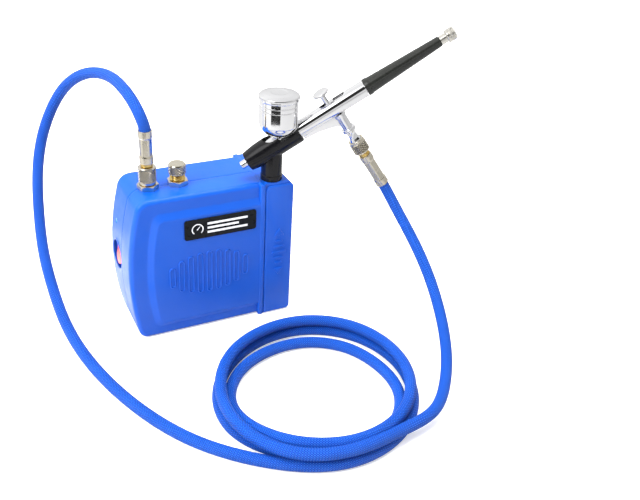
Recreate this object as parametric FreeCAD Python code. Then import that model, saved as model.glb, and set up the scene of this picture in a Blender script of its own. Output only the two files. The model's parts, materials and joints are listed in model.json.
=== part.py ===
"""Mini airbrush compressor with its braided hose, brush holder and gravity-feed airbrush.

Frame: millimetres, +X along the housing to the holder end, +Y to the back, +Z up. The origin is the
middle of the housing's footprint on the table. Each piece is written to parts/NODE.step.
"""
import FreeCAD, Part
import math
import os

V = FreeCAD.Vector
UP = V(0, 0, 1)
ALONG = V(1, 0, 0)
BACK = V(0, 1, 0)

# ---- driving dimensions -------------------------------------------------------------------------
LENGTH = 109.6            # housing, left bulge to end cover
TOP = 100.0               # height of the housing's top above the table
WALL = 2.0
BODY_HALF = 22.8          # half depth of the main body
COLUMN_HALF = 25.1        # half depth of the ridge and end cover
SEAM_Y = -4.0             # where the front and rear shells meet
SEAM_GAP = 0.2
BULGE_R = 187.0           # left end, seen from the front
BULGE_Z = 46.0            # height where the bulge is widest
LEFT = -LENGTH / 2
RIGHT = LENGTH / 2
RIDGE_X0 = 31.6           # raised ridge beside the end cover
RIDGE_X1 = 35.3
COVER_WALL = 1.2
COVER_TOP = 98.0
COVER_FOOT = 0.8
CORE_X1 = RIGHT - COVER_WALL - 0.2
CORE_HALF = COLUMN_HALF - COVER_WALL - 0.2

PANEL_Y = -24.9           # front of the raised panel
RELIEF = 0.45             # height of moulded marks
PILL_W = 4.2
PILL_LINE = 0.9           # width of a pill outline
EMBLEM = (-3.0, 44.0)     # centre of the moulded row of pills
EMBLEM_HALF = (28.5, 15.4)

BOSS_SPOTS = ((-46.0, 84.0), (-44.0, 12.0), (26.0, 10.0), (26.0, 91.0))
BOSS_R = 3.3
SCREW_R = 1.45
SCREW_HEAD_R = 2.8
SCREW_HEAD_Y = 19.8       # inner end of a screw's counterbore in the rear shell
SCREW_TIP_Y = -15.0
LED_R = 1.5
LED_Y = 11.0
LED_Z = 72.5
JACK_XZ = (10.0, 15.0)
JACK_R = 4.0

PORT_X = (-35.4, -16.4)   # hose outlet and spare outlet
PORT_Y = -4.4
THREAD_R = 4.86           # G1/8 thread
HEX_AF = 12.0
NUT_TURNS = (12.0, -6.0)  # how far each hexagon happens to be turned
HEX_H = 3.2
NUT_GAP = 0.3             # between a hex nut and the knurled nut over it

FITTING_TOP = TOP + 11.0
NUT_R = 5.6
NUT_LEN = 11.5
BARB_R = 1.9
CAP_LEN = 6.8
CAP_Z0 = TOP + 7.2

HOSE_R = 3.6
FERRULE_R = 4.3
COIL_CENTRE = (31.0, -111.0)

SHAFT_Z = 26.0            # motor axis
CAN_R = 13.85
CAN_X0 = -36.0
CAN_X1 = -4.0
CRANK_THROW = 2.5
PUMP_X = 6.2              # plane of the connecting rod
PUMP_HALF = 12.0
PUMP_Z = 58.0             # underside of the pump body

SWITCH_Y = 7.3
SWITCH_Z = 50.0
SWITCH_X = -50.5          # rocker pivot
ROCKER_R = 7.2
DISH_R = 9.5              # round recess around the rocker
DISH_FLOOR = -52.2        # x of the recess floor
ROCKER_TILT = 9.0         # degrees, upper end pressed in

POST_XY = (42.1, -16.8)   # holder post
POST_R = 6.8
SPIGOT_R = 4.5            # stub of the post that plugs into the housing
SPIGOT_LEN = 4.8
BRUSH_Z = 121.8           # height of the airbrush axis over the post
BRUSH_RISE = 33.7         # degrees the airbrush points up, from nozzle to tail
BRUSH_SWING = -16.0       # degrees it swings from +X towards the front
HOLDER_R = 7.55
HOLDER_FRONT = -18.4      # stations of the holder's ends on the airbrush axis
HOLDER_REAR = 19.7
CRADLE_TOP = 2.0
BARREL_R = 5.35
RUN = 0.08                # radial running clearance
CUP_S = 4.2               # station of the paint cup on the airbrush axis
CUP_R = 12.3
CUP_RIM = 29.3            # cup's rim above the airbrush axis
LID_R = 12.9
BARREL_BORE = 4.2
SLOT_HALF = 1.9
NEEDLE_R = 0.6
VALVE_S = 46.5            # station of the air valve
TRIGGER_S = 43.5
HANDLE_S = 68.7
TAIL_S = 132.3
HOSE_DROP = 64.4          # hose start below the airbrush axis, along the valve
FERRULE_LEN = 21.5
BRUSH_FERRULE_LEN = 25.0


# ---- shape helpers ------------------------------------------------------------------------------
def box(x0, x1, y0, y1, z0, z1):
    return Part.makeBox(x1 - x0, y1 - y0, z1 - z0, V(x0, y0, z0))


def rod(radius, start, end):
    axis = end - start
    return Part.makeCylinder(radius, axis.Length, start, axis)


def ring(outer, inner, start, end):
    return rod(outer, start, end).cut(rod(inner, start, end))


def turned(profile, origin=V(0, 0, 0), axis=UP):
    """Solid of revolution from (radius, height) points, height measured along axis from origin."""
    points = [V(r, 0, h) for r, h in profile]
    face = Part.Face(Part.makePolygon(points + points[:1]))
    solid = face.revolve(V(0, 0, 0), UP, 360)
    solid.Placement = FreeCAD.Placement(origin, FreeCAD.Rotation(UP, axis))
    return Part.Solid(solid)


def prism(points, depth):
    """Face through the points, extruded along the depth vector."""
    return Part.Face(Part.makePolygon(points + points[:1])).extrude(depth)


def hexagon(across_flats, centre, height, turn=0.0):
    radius = across_flats / math.sqrt(3)
    corners = []
    for i in range(6):
        a = math.radians(60 * i + turn)
        corners.append(centre + V(radius * math.cos(a), radius * math.sin(a), 0))
    return prism(corners, V(0, 0, height))


def hex_nut(centre, height, bore):
    """Hexagon nut with its upper corners turned off at 30 degrees."""
    blank = hexagon(HEX_AF, centre, height)
    corner = HEX_AF / math.sqrt(3)
    drop = (corner + 0.2 - HEX_AF / 2) * math.tan(math.radians(30))
    cone = turned([(0, 0), (corner + 0.2, 0), (corner + 0.2, height - drop),
                   (HEX_AF / 2, height), (0, height)], centre)
    return blank.common(cone).cut(rod(bore, centre, centre + V(0, 0, height)))


def ellipse_arc(a, b, centre_h, steps, start=0.0, stop=90.0):
    """(radius, height) points on the lower half of an ellipse, from the rim angle down to the bottom."""
    points = []
    for i in range(steps + 1):
        t = math.radians(start + (stop - start) * i / steps)
        points.append((a * math.cos(t), centre_h - b * math.sin(t)))
    return points


def sweep(points, radius):
    """Round solid rod along a smooth curve through the points."""
    curve = Part.BSplineCurve()
    curve.interpolate(points)
    path = Part.Wire(curve.toShape())
    start = curve.tangent(curve.FirstParameter)[0]
    section = Part.Wire(Part.makeCircle(radius, points[0], start))
    return Part.Solid(path.makePipeShell([section], True, False))


def edges_at(shape, test):
    """Edges whose every sample point passes the test."""
    found = []
    for edge in shape.Edges:
        if all(test(p) for p in edge.discretize(5)):
            found.append(edge)
    return found


def near(a, b):
    return abs(a - b) < 1e-3


def export(name, *solids):
    shape = solids[0] if len(solids) == 1 else Part.makeCompound(list(solids))
    shape.exportStep("parts/" + name + ".step")


# ---- housing ------------------------------------------------------------------------------------
def left_x(z, inset=0.0):
    """X of the bulged left end at height z, moved inwards by the inset."""
    return LEFT + BULGE_R - math.sqrt((BULGE_R - inset) ** 2 - (z - BULGE_Z) ** 2)


def side_plate(inset, x1, z0, z1, y0, y1, top_r, bottom_r):
    """Plate with the housing's side outline: bulged left end with two rounded corners."""
    low = V(left_x(z0, inset), y0, z0)
    mid = V(left_x(BULGE_Z, inset), y0, BULGE_Z)
    high = V(left_x(z1, inset), y0, z1)
    edges = [Part.Arc(low, mid, high).toShape(),
             Part.LineSegment(high, V(x1, y0, z1)).toShape(),
             Part.LineSegment(V(x1, y0, z1), V(x1, y0, z0)).toShape(),
             Part.LineSegment(V(x1, y0, z0), low).toShape()]
    plate = Part.Face(Part.Wire(edges)).extrude(V(0, y1 - y0, 0))
    plate = plate.makeFillet(top_r, edges_at(plate, lambda p: near(p.z, z1) and near(p.x, high.x)))
    return plate.makeFillet(bottom_r, edges_at(plate, lambda p: near(p.z, z0) and near(p.x, low.x)))


def front_face(plate):
    return min(plate.Faces, key=lambda f: f.CenterOfMass.y)


def raised_panel():
    """Bevelled panel standing on the front of the housing, open to the ridge on its right."""
    foot = side_plate(11.0, RIDGE_X0 + 1, 7.3, 90.6, -BODY_HALF, -BODY_HALF + 1, 6.0, 6.0)
    crown = side_plate(15.0, RIDGE_X0 + 1, 11.0, 86.0, PANEL_Y, PANEL_Y + 1, 5.0, 5.0)
    bevel = Part.makeLoft([front_face(foot).OuterWire, front_face(crown).OuterWire], True, True)
    return bevel.fuse(foot)


def stadium(cx, cz, width, height, y, depth):
    """Upright rounded bar in the XZ plane, extruded towards +Y."""
    r = width / 2
    straight = max(height / 2 - r, 0.01)
    body = box(cx - r, cx + r, y, y + depth, cz - straight, cz + straight)
    for z in (cz - straight, cz + straight):
        body = body.fuse(rod(r, V(cx, y, z), V(cx, y + depth, z)))
    return body.removeSplitter()


def emblem():
    """Row of upright pill outlines whose heights follow an ellipse."""
    outlines = []
    for i in range(-4, 5):
        x = EMBLEM_HALF[0] * i / 4.6
        height = 2 * EMBLEM_HALF[1] * math.sqrt(1 - (x / EMBLEM_HALF[0]) ** 2)
        y = PANEL_Y - RELIEF
        outer = stadium(EMBLEM[0] + x, EMBLEM[1], PILL_W, height, y, RELIEF + 0.3)
        inner = stadium(EMBLEM[0] + x, EMBLEM[1], PILL_W - 2 * PILL_LINE,
                        height - 2 * PILL_LINE, y - 1, RELIEF + 1)
        outlines.append(outer.cut(inner))
    return outlines


def housing_outside():
    body = side_plate(0, RIDGE_X0 + 1, 0, TOP, -BODY_HALF, BODY_HALF, 9.0, 5.5)
    for side in (-1, 1):
        rim = edges_at(body, lambda p: near(p.y, side * BODY_HALF) and p.x < RIDGE_X0 + 1.001)
        rim = [e for e in rim if not all(near(p.x, RIDGE_X0 + 1) for p in e.discretize(3))]
        body = body.makeFillet(3.0, rim)
    ridge = box(RIDGE_X0, RIDGE_X1, -COLUMN_HALF, COLUMN_HALF, 0, TOP)
    ridge = ridge.makeFillet(1.4, edges_at(ridge, lambda p: near(abs(p.y), COLUMN_HALF)
                                           or (near(p.z, TOP) and near(p.x, RIDGE_X0))))
    core = box(RIDGE_X1 - 1, CORE_X1, -CORE_HALF, CORE_HALF, 0, TOP)
    core = core.makeFillet(3.0, edges_at(core, lambda p: near(p.x, CORE_X1) and near(p.z, TOP)))
    core = core.makeFillet(1.0, edges_at(core, lambda p: near(abs(p.y), CORE_HALF) and p.x > RIDGE_X1))
    return body.fuse([ridge, core, raised_panel()] + emblem())


def housing_inside():
    body = side_plate(WALL, RIDGE_X0, WALL, TOP - WALL, -BODY_HALF + WALL, BODY_HALF - WALL, 7.0, 3.5)
    core = box(RIDGE_X0 - 3, CORE_X1 - WALL, -CORE_HALF + WALL, CORE_HALF - WALL, WALL, TOP - WALL)
    return body.fuse(core)


def bosses(y0, y1, hole):
    made = []
    for x, z in BOSS_SPOTS:
        made.append(rod(BOSS_R, V(x, y0, z), V(x, y1, z)).cut(rod(hole, V(x, y0, z), V(x, y1, z))))
    return made


def switch_dish():
    """Blind wall of the round recess, with a window in its floor for the rocker."""
    centre = V(DISH_FLOOR, SWITCH_Y, SWITCH_Z)
    wall = rod(DISH_R + 1.4, V(LEFT + 1, SWITCH_Y, SWITCH_Z), centre + V(1.4, 0, 0))
    window = rod(ROCKER_R + 0.7, centre - V(1, 0, 0), centre + V(3, 0, 0))
    return wall, rod(DISH_R, V(LEFT - 1, SWITCH_Y, SWITCH_Z), centre), window


def shells():
    outside = housing_outside()
    inside = housing_inside()
    hollow = outside.cut(inside)
    cuts = [rod(THREAD_R + 0.2, V(x, PORT_Y, TOP - 5), V(x, PORT_Y, TOP + 1)) for x in PORT_X]
    cuts.append(rod(SPIGOT_R + 0.05, V(POST_XY[0], POST_XY[1], TOP - 5), V(POST_XY[0], POST_XY[1], TOP + 1)))
    hollow = hollow.cut(cuts)

    front = hollow.common(box(-80, 80, -40, SEAM_Y - SEAM_GAP / 2, -5, 120))
    front = front.fuse(bosses(-BODY_HALF + 1, SEAM_Y - SEAM_GAP / 2, SCREW_R + 0.05)).removeSplitter()

    behind_seam = box(-80, 80, SEAM_Y + SEAM_GAP / 2, 40, -5, 120)
    rear = hollow.common(behind_seam)
    wall, dish, window = switch_dish()
    rear = rear.fuse(wall.common(outside).common(behind_seam))
    rear = rear.fuse(bosses(SEAM_Y + SEAM_GAP / 2, BODY_HALF - 1, SCREW_R + 0.2))
    rear = rear.cut([dish, window])
    rear = rear.cut(rod(LED_R + 0.1, V(LEFT - 1, LED_Y, LED_Z), V(LEFT + 8, LED_Y, LED_Z)))
    rear = rear.cut(rod(JACK_R, V(JACK_XZ[0], 15, JACK_XZ[1]), V(JACK_XZ[0], 30, JACK_XZ[1])))
    for x, z in BOSS_SPOTS:
        rear = rear.cut(rod(SCREW_HEAD_R + 0.3, V(x, SCREW_HEAD_Y, z), V(x, 30, z)))
        rear = rear.cut(rod(SCREW_R + 0.2, V(x, SEAM_Y, z), V(x, 30, z)))
    return front, rear.removeSplitter()


def cover_marks():
    """Moulded grip marks on the end cover: two triangles with three bars between them."""
    x = 45.3
    y = -COLUMN_HALF - RELIEF
    marks = []
    for tip, base in ((65.5, 60.5), (31.5, 36.5)):
        outline = [V(x, y, tip), V(x - 3.4, y, base), V(x + 3.4, y, base)]
        marks.append(prism(outline, V(0, RELIEF + 0.3, 0)))
    for z, width in ((54.0, 6.5), (48.0, 9.3), (42.0, 6.5)):
        bar = box(x - width / 2 + 1.3, x + width / 2 - 1.3, y, y + RELIEF + 0.3, z - 1.3, z + 1.3)
        for side in (-1, 1):
            end = V(x + side * (width / 2 - 1.3), y, z)
            bar = bar.fuse(rod(1.3, end, end + V(0, RELIEF + 0.3, 0)))
        marks.append(bar.removeSplitter())
    return marks


def end_cover():
    """U-shaped cover that slips down over three sides of the column."""
    left = RIDGE_X1 + 0.2
    blank = box(left, RIGHT, -COLUMN_HALF, COLUMN_HALF, COVER_FOOT, COVER_TOP)
    for x, z, radius in ((left, COVER_TOP, 3.5), (RIGHT, COVER_TOP, 2.6), (RIGHT, COVER_FOOT, 2.6)):
        blank = blank.makeFillet(radius, edges_at(blank, lambda p: near(p.x, x) and near(p.z, z)))
    blank = blank.makeFillet(1.0, edges_at(blank, lambda p: near(abs(p.y), COLUMN_HALF)))
    hollow = box(RIDGE_X1 - 1, RIGHT - COVER_WALL, -CORE_HALF - 0.2, CORE_HALF + 0.2, -1, TOP + 1)
    return blank.cut(hollow).fuse(cover_marks())


def housing_pieces():
    front, rear = shells()
    export("front_shell", front)
    export("rear_shell", rear)
    export("end_cover", end_cover())

    plate = box(-19.5, 28.5, PANEL_Y - 0.8, PANEL_Y, 69.9, 83.8)
    plate = plate.makeFillet(1.6, edges_at(plate, lambda p: near(abs(p.x - 4.5), 24.0) and
                                           (near(p.z, 69.9) or near(p.z, 83.8))))
    export("label_plate", plate)

    screws = []
    for x, z in BOSS_SPOTS:
        head = turned([(0, 0), (SCREW_HEAD_R, 0), (SCREW_HEAD_R, 1.2), (1.8, 2.0), (0, 2.0)],
                      V(x, SCREW_HEAD_Y, z), BACK)
        slot = box(x - 1.5, x + 1.5, SCREW_HEAD_Y + 1, SCREW_HEAD_Y + 3, z - 0.35, z + 0.35)
        cross = box(x - 0.35, x + 0.35, SCREW_HEAD_Y + 1, SCREW_HEAD_Y + 3, z - 1.5, z + 1.5)
        shank = rod(SCREW_R, V(x, SCREW_TIP_Y, z), V(x, SCREW_HEAD_Y, z))
        screws.append(head.fuse(shank).cut([slot, cross]))
    export("housing_screws", *screws)

    lens_x = left_x(LED_Z)
    led = turned([(0, 0), (LED_R, 0), (LED_R, 6.0), (0, 6.0)], V(lens_x + 0.2, LED_Y, LED_Z), ALONG)
    export("indicator_light", led)

    x, z = JACK_XZ
    jack = box(x - 4.5, x + 4.5, 11.8, BODY_HALF - WALL, z - 4.5, z + 4.5)
    jack = jack.fuse(rod(JACK_R - 0.1, V(x, 18, z), V(x, BODY_HALF - 0.3, z)))
    jack = jack.cut(ring(2.9, 1.0, V(x, 13, z), V(x, 30, z)))
    export("power_jack", jack)


# ---- switch -------------------------------------------------------------------------------------
def switch_pieces():
    front = DISH_FLOOR + 1.5
    axis_at = V(0, SWITCH_Y, SWITCH_Z)
    body = rod(ROCKER_R + 2.0, axis_at + V(front, 0, 0), axis_at + V(-40.5, 0, 0))
    pocket = rod(ROCKER_R + 0.8, axis_at + V(front - 1, 0, 0), axis_at + V(front + 5.5, 0, 0))
    export("switch_body", body.cut(pocket))

    outline = []
    for dx, dz in ((-2.8, -7.5), (-2.4, -3.2), (-1.9, 0), (-2.4, 3.2), (-2.8, 7.5), (1.2, 7.5), (1.2, -7.5)):
        outline.append(V(SWITCH_X + dx, SWITCH_Y - 8, SWITCH_Z + dz))
    rocker = prism(outline, V(0, 16, 0))
    rocker = rocker.common(rod(ROCKER_R, axis_at + V(SWITCH_X - 5, 0, 0), axis_at + V(SWITCH_X + 5, 0, 0)))
    rocker.rotate(axis_at + V(SWITCH_X, 0, 0), BACK, ROCKER_TILT)
    export("switch_rocker", rocker)


# ---- motor and pump -----------------------------------------------------------------------------
def on_shaft(x, y=0.0, z=0.0):
    return V(x, y, SHAFT_Z + z)


def motor_pieces():
    can = rod(CAN_R, on_shaft(CAN_X0), on_shaft(CAN_X1))
    can = can.cut(rod(CAN_R - 0.8, on_shaft(CAN_X0), on_shaft(CAN_X1 - 0.8)))
    nose = rod(3.0, on_shaft(CAN_X1), on_shaft(CAN_X1 + 1.8))
    bore = rod(1.2, on_shaft(CAN_X1 - 1), on_shaft(CAN_X1 + 2))
    export("motor_can", can.fuse(nose).cut(bore))

    cap = ring(CAN_R - 0.85, 1.2, on_shaft(CAN_X0), on_shaft(CAN_X0 + 2.5))
    tabs = [box(CAN_X0 - 4, CAN_X0 + 1, y - 1.2, y + 1.2, SHAFT_Z - 0.3, SHAFT_Z + 0.3) for y in (-8, 8)]
    export("motor_end_cap", cap.fuse(tabs))

    tube = ring(12.95, 10.5, on_shaft(-28), on_shaft(-9))
    side = box(-30, -8, -14, 14, SHAFT_Z - 6, SHAFT_Z + 6)
    arcs = tube.cut(side).Solids
    export("motor_magnets", *arcs)

    stack = rod(9.9, on_shaft(-26), on_shaft(-11)).cut(rod(1.15, on_shaft(-26), on_shaft(-11)))
    for i in range(5):
        a = math.radians(72 * i + 18)
        slot = box(-27, -10, 4.5, 11, -1.3, 1.3)
        slot.rotate(V(0, 0, 0), ALONG, math.degrees(a))
        slot.translate(on_shaft(0))
        stack = stack.cut(slot)
    commutator = ring(3.0, 1.15, on_shaft(-32), on_shaft(-28))
    export("motor_armature", stack, commutator)
    export("motor_shaft", rod(1.15, on_shaft(-37), on_shaft(2.0)))

    hub = rod(6.0, on_shaft(-1.5), on_shaft(3.5)).cut(rod(1.15, on_shaft(-1.5), on_shaft(2.0)))
    pin = rod(2.0, on_shaft(3.4, 0, CRANK_THROW), on_shaft(8.6, 0, CRANK_THROW))
    export("crank", hub.fuse(pin))

    pin_z = SHAFT_Z + CRANK_THROW
    eye0 = V(PUMP_X - 2, 0, pin_z)
    eye1 = V(PUMP_X + 2, 0, pin_z)
    export("crank_bearing", ring(5.0, 2.04, eye0, eye1))
    rod_top = PUMP_Z + 4.0
    shank = box(PUMP_X - 1.5, PUMP_X + 1.5, -2, 2, pin_z + 5.5, rod_top - 1)
    eye = rod(7.2, eye0, eye1).cut(rod(5.0, eye0, eye1))
    plate = rod(5.4, V(PUMP_X, 0, rod_top - 2), V(PUMP_X, 0, rod_top))
    export("connecting_rod", eye.fuse([shank, plate]).cut(rod(5.0, eye0, eye1)))

    pads = []
    for side in (-1, 1):
        y0 = min(side * (CAN_R + 0.1), side * (BODY_HALF - WALL - 0.1))
        y1 = max(side * (CAN_R + 0.1), side * (BODY_HALF - WALL - 0.1))
        pads.append(box(-30, -12, y0, y1, SHAFT_Z - 6, SHAFT_Z + 6))
    export("vibration_pads", *pads)


def pump_pieces():
    upright = box(CAN_X1, CAN_X1 + 1.5, -PUMP_HALF, PUMP_HALF, 12, PUMP_Z)
    upright = upright.cut(rod(3.1, on_shaft(CAN_X1 - 1), on_shaft(CAN_X1 + 3)))
    shelf = box(CAN_X1, PUMP_X + PUMP_HALF, -PUMP_HALF, PUMP_HALF, PUMP_Z - 1.5, PUMP_Z)
    shelf = shelf.cut(rod(8.4, V(PUMP_X, 0, PUMP_Z - 3), V(PUMP_X, 0, PUMP_Z + 1)))
    bracket = upright.fuse(shelf)

    half = PUMP_HALF - 0.2
    floor_z = PUMP_Z + 6.0
    plate_z = floor_z + 1.0
    head_z = plate_z + 2.5
    top_z = head_z + 9.5

    def block(z0, z1):
        solid = box(PUMP_X - half, PUMP_X + half, -half, half, z0, z1)
        corners = edges_at(solid, lambda p: near(abs(p.x - PUMP_X), half) and near(abs(p.y), half))
        return solid.makeFillet(3.0, corners)

    spots = [V(PUMP_X + sx * 9.0, sy * 9.0, 0) for sx in (-1, 1) for sy in (-1, 1)]
    drills = [rod(1.55, s + V(0, 0, PUMP_Z - 3), s + V(0, 0, top_z + 1)) for s in spots]
    body = block(PUMP_Z, floor_z).cut(rod(8.4, V(PUMP_X, 0, PUMP_Z), V(PUMP_X, 0, floor_z)))
    export("pump_bracket", bracket.cut(drills))
    export("pump_body", body.cut(drills))
    export("diaphragm", block(floor_z, plate_z).cut(drills))

    ports = []
    for side in (-1, 1):
        ports.append(rod(1.2, V(PUMP_X + side * 4.6, 0, plate_z), V(PUMP_X + side * 4.6, 0, head_z)))
    export("valve_plate", block(plate_z, head_z).cut(drills + ports))
    chambers = []
    flaps = []
    for side in (-1, 1):
        foot = V(PUMP_X + side * 4.6, 0, head_z)
        chambers.append(rod(3.4, foot, foot + V(0, 0, 6)))
        flaps.append(rod(3.0, foot, foot + V(0, 0, 0.6)))
    barb_z = head_z + 4.5
    barb = rod(2.0, V(PUMP_X - half + 1, 0, barb_z), V(PUMP_X - half - 7, 0, barb_z))
    passage = rod(1.1, V(PUMP_X - 4.6, 0, barb_z), V(PUMP_X - half - 8, 0, barb_z))
    head = block(head_z, top_z).fuse(barb).cut(drills + chambers + [passage])
    export("pump_head", head)
    export("valve_flaps", *flaps)

    screws = []
    for s in spots:
        foot = s + V(0, 0, PUMP_Z - 2.5)
        cap = turned([(0, 0), (2.6, 0), (2.6, 1.4), (1.6, 2.0), (0, 2.0)], s + V(0, 0, top_z))
        screws.append(cap.fuse(rod(1.5, foot, s + V(0, 0, top_z))))
    export("pump_screws", *screws)

    mid_x = (PORT_X[0] + PORT_X[1]) / 2
    block_z0 = TOP - 20.0
    block_z1 = TOP - 12.0
    manifold = box(PORT_X[0] - 6, PORT_X[1] + 6, PORT_Y - 6, PORT_Y + 6, block_z0, block_z1)
    sockets = [rod(THREAD_R, V(x, PORT_Y, block_z0 + 3), V(x, PORT_Y, block_z1)) for x in PORT_X]
    gallery = rod(1.5, V(PORT_X[0], PORT_Y, block_z0 + 3), V(PORT_X[1], PORT_Y, block_z0 + 3))
    spout = rod(2.0, V(mid_x, PORT_Y, block_z0 - 7), V(mid_x, PORT_Y, block_z0))
    feed = rod(1.1, V(mid_x, PORT_Y, block_z0 - 8), V(mid_x, PORT_Y, block_z0 + 3))
    export("manifold", manifold.fuse(spout).cut(sockets + [gallery, feed]))

    x0 = PUMP_X - half - 7.3
    path = [V(x0, 0, barb_z), V(x0 - 2, 0, barb_z - 0.2), V(mid_x + 8, -2.5, barb_z - 4),
            V(mid_x + 3, PORT_Y, barb_z - 6), V(mid_x, PORT_Y, barb_z - 4), V(mid_x, PORT_Y, block_z0 - 7.3)]
    export("air_tube", sweep(path, 2.6))


def electric_pieces():
    board = box(29.0, 30.6, -15, 15, 24, 66)
    parts = [box(30.6, 34.0, -10, -3, 30, 40), rod(4.0, V(30.6, 7, 34), V(38.0, 7, 34)),
             box(30.6, 33.0, -6, 6, 50, 60)]
    export("circuit_board", board.fuse(parts))
    ends = (V(28.9, 13.0, 50), V(-40.9, SWITCH_Y, SWITCH_Z))
    wire_a = sweep([ends[0], V(20, 18.3, 49), V(-10, 18.8, 48), V(-32, 17.5, 46), ends[1]], 0.8)
    ends = (V(28.9, 10.0, 27), V(JACK_XZ[0], 11.7, JACK_XZ[1]))
    wire_b = sweep([ends[0], V(22, 9.0, 22), V(16, 9.5, 16), ends[1]], 0.8)
    export("wires", wire_a, wire_b)


# ---- outlets, hose nuts and hose ----------------------------------------------------------------
def ferrule(start, axis, n):
    """Hose end sleeve of length n: two plain rings with a slimmer hexagonal middle."""
    ring_len = 5.2
    bevel = 0.7
    waist = 3.95
    outer = turned([(0, 0), (FERRULE_R - 0.3, 0), (FERRULE_R, 0.4), (FERRULE_R, ring_len - bevel),
                    (waist, ring_len), (waist, n - ring_len), (FERRULE_R, n - ring_len + bevel),
                    (FERRULE_R, n), (0, n)])
    flats = hexagon(2 * waist - 0.3, V(0, 0, ring_len), n - 2 * ring_len)
    band = rod(FERRULE_R + 1, V(0, 0, ring_len), V(0, 0, n - ring_len))
    outer = outer.cut(band.cut(flats))
    barb_way = rod(BARB_R, V(0, 0, -1), V(0, 0, 12))
    hose_way = rod(HOSE_R + 0.05, V(0, 0, 11.5), V(0, 0, n + 1))
    outer = outer.cut([barb_way, hose_way])
    outer.Placement = FreeCAD.Placement(start, FreeCAD.Rotation(UP, axis))
    return outer


def hose_barb(start, axis, seat_r, seat, neck, length):
    """Brass tail: seat inside the nut, ring outside it and a stem up into the ferrule."""
    return turned([(0, 0), (seat_r, 0), (seat_r, seat), (3.1, seat), (3.1, seat + neck),
                   (3.7, seat + neck), (3.7, length), (BARB_R, length), (BARB_R, length + 11.4),
                   (0, length + 11.4)], start, axis)


def hose_nut(start, axis, outer, thread, depth, length):
    """Knurled swivel nut, open at the start and with a collar at the far end."""
    blank = turned([(0, 0), (outer - 0.4, 0), (outer - 0.4, 1.7), (outer, 2.1), (outer, length - 0.7),
                    (outer - 0.7, length), (0, length)], start, axis)
    bore = thread + 0.09
    inside = turned([(0, -0.1), (bore, -0.1), (bore, depth), (3.2, depth), (3.2, length + 1),
                     (0, length + 1)], start, axis)
    return blank.cut(inside)


def fitting(x):
    """Threaded brass outlet, with shallow thread grooves where it shows."""
    profile = [(0, TOP - 17), (THREAD_R, TOP - 17), (THREAD_R, TOP + HEX_H)]
    z = TOP + HEX_H
    while z < FITTING_TOP - 1.8:
        profile += [(THREAD_R, z + 0.5), (THREAD_R - 0.4, z + 0.75), (THREAD_R, z + 1.0)]
        z += 0.907
    profile += [(THREAD_R, FITTING_TOP - 0.5), (THREAD_R - 0.5, FITTING_TOP), (0, FITTING_TOP)]
    bore = rod(2.4, V(0, 0, TOP - 18), V(0, 0, TOP + 20))
    solid = turned(profile).cut(bore)
    solid.translate(V(x, PORT_Y, 0))
    return solid


def outlet_pieces():
    export("outlet_fitting_hose", fitting(PORT_X[0]))
    export("outlet_fitting_spare", fitting(PORT_X[1]))
    nuts = []
    for x, turn in zip(PORT_X, NUT_TURNS):
        nut = hex_nut(V(x, PORT_Y, TOP), HEX_H, THREAD_R + 0.05)
        nut.rotate(V(x, PORT_Y, 0), UP, turn)
        nuts.append(nut)
    export("outlet_hex_nuts", *nuts)

    foot = V(PORT_X[1], PORT_Y, CAP_Z0)
    outside = turned([(0, 0), (NUT_R - 0.4, 0), (NUT_R, 0.5), (NUT_R, CAP_LEN - 0.9), (NUT_R - 0.8, CAP_LEN),
                      (0, CAP_LEN)], foot)
    inside_depth = FITTING_TOP - CAP_Z0 + 0.9
    export("blank_cap", outside.cut(rod(THREAD_R + RUN, foot, foot + V(0, 0, inside_depth))))
    seal = V(PORT_X[1], PORT_Y, FITTING_TOP + 0.05)
    export("cap_seal", ring(4.6, 2.5, seal, seal + V(0, 0, 0.8)))

    nut_z = TOP + HEX_H + NUT_GAP
    foot = V(PORT_X[0], PORT_Y, nut_z)
    depth = FITTING_TOP + 2.1 - nut_z
    export("hose_nut_compressor", hose_nut(foot, UP, NUT_R, THREAD_R, depth, NUT_LEN))
    seat = V(PORT_X[0], PORT_Y, FITTING_TOP + 0.1)
    seat_len = 1.9
    neck = nut_z + NUT_LEN + 0.1 - seat.z - seat_len
    ring_top = nut_z + NUT_LEN + 2.0 - seat.z
    export("hose_barb_compressor", hose_barb(seat, UP, 4.5, seat_len, neck, ring_top))
    start = seat + V(0, 0, ring_top + 0.05)
    export("hose_ferrule_compressor", ferrule(start, UP, FERRULE_LEN))
    return start + V(0, 0, FERRULE_LEN)


# Turns of the floor coil, anticlockwise from the front left: degrees round, radius, height in hose
# diameters above the table.
COIL_TURNS = (
    (190, 84, 0), (223, 69, 0), (262, 66, 0), (300, 64, 0), (335, 62, 0), (365, 61, 0), (400, 60, 0),
    (430, 58, 0), (460, 55, 0), (490, 54, 0), (525, 57, 0), (555, 60, 0), (590, 59, 0), (625, 58, 0),
    (660, 57, 0), (695, 53, 0), (725, 48, 0), (755, 46, 0), (790, 44, 0), (825, 43, 0), (860, 46, 0),
    (895, 51, 0.1), (925, 54, 0.6), (960, 57, 1.02), (995, 59, 1.05), (1030, 60, 1.05), (1060, 60, 1.05),
    (1090, 60, 1.05), (1120, 60, 1.05), (1150, 58, 1.05), (1180, 55, 1.05), (1210, 54, 1.05),
    (1240, 55, 1.05), (1265, 58, 1.05), (1290, 62, 1.05), (1320, 66, 1.1), (1350, 65, 1.05), (1375, 66, 0.75),
)
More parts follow.
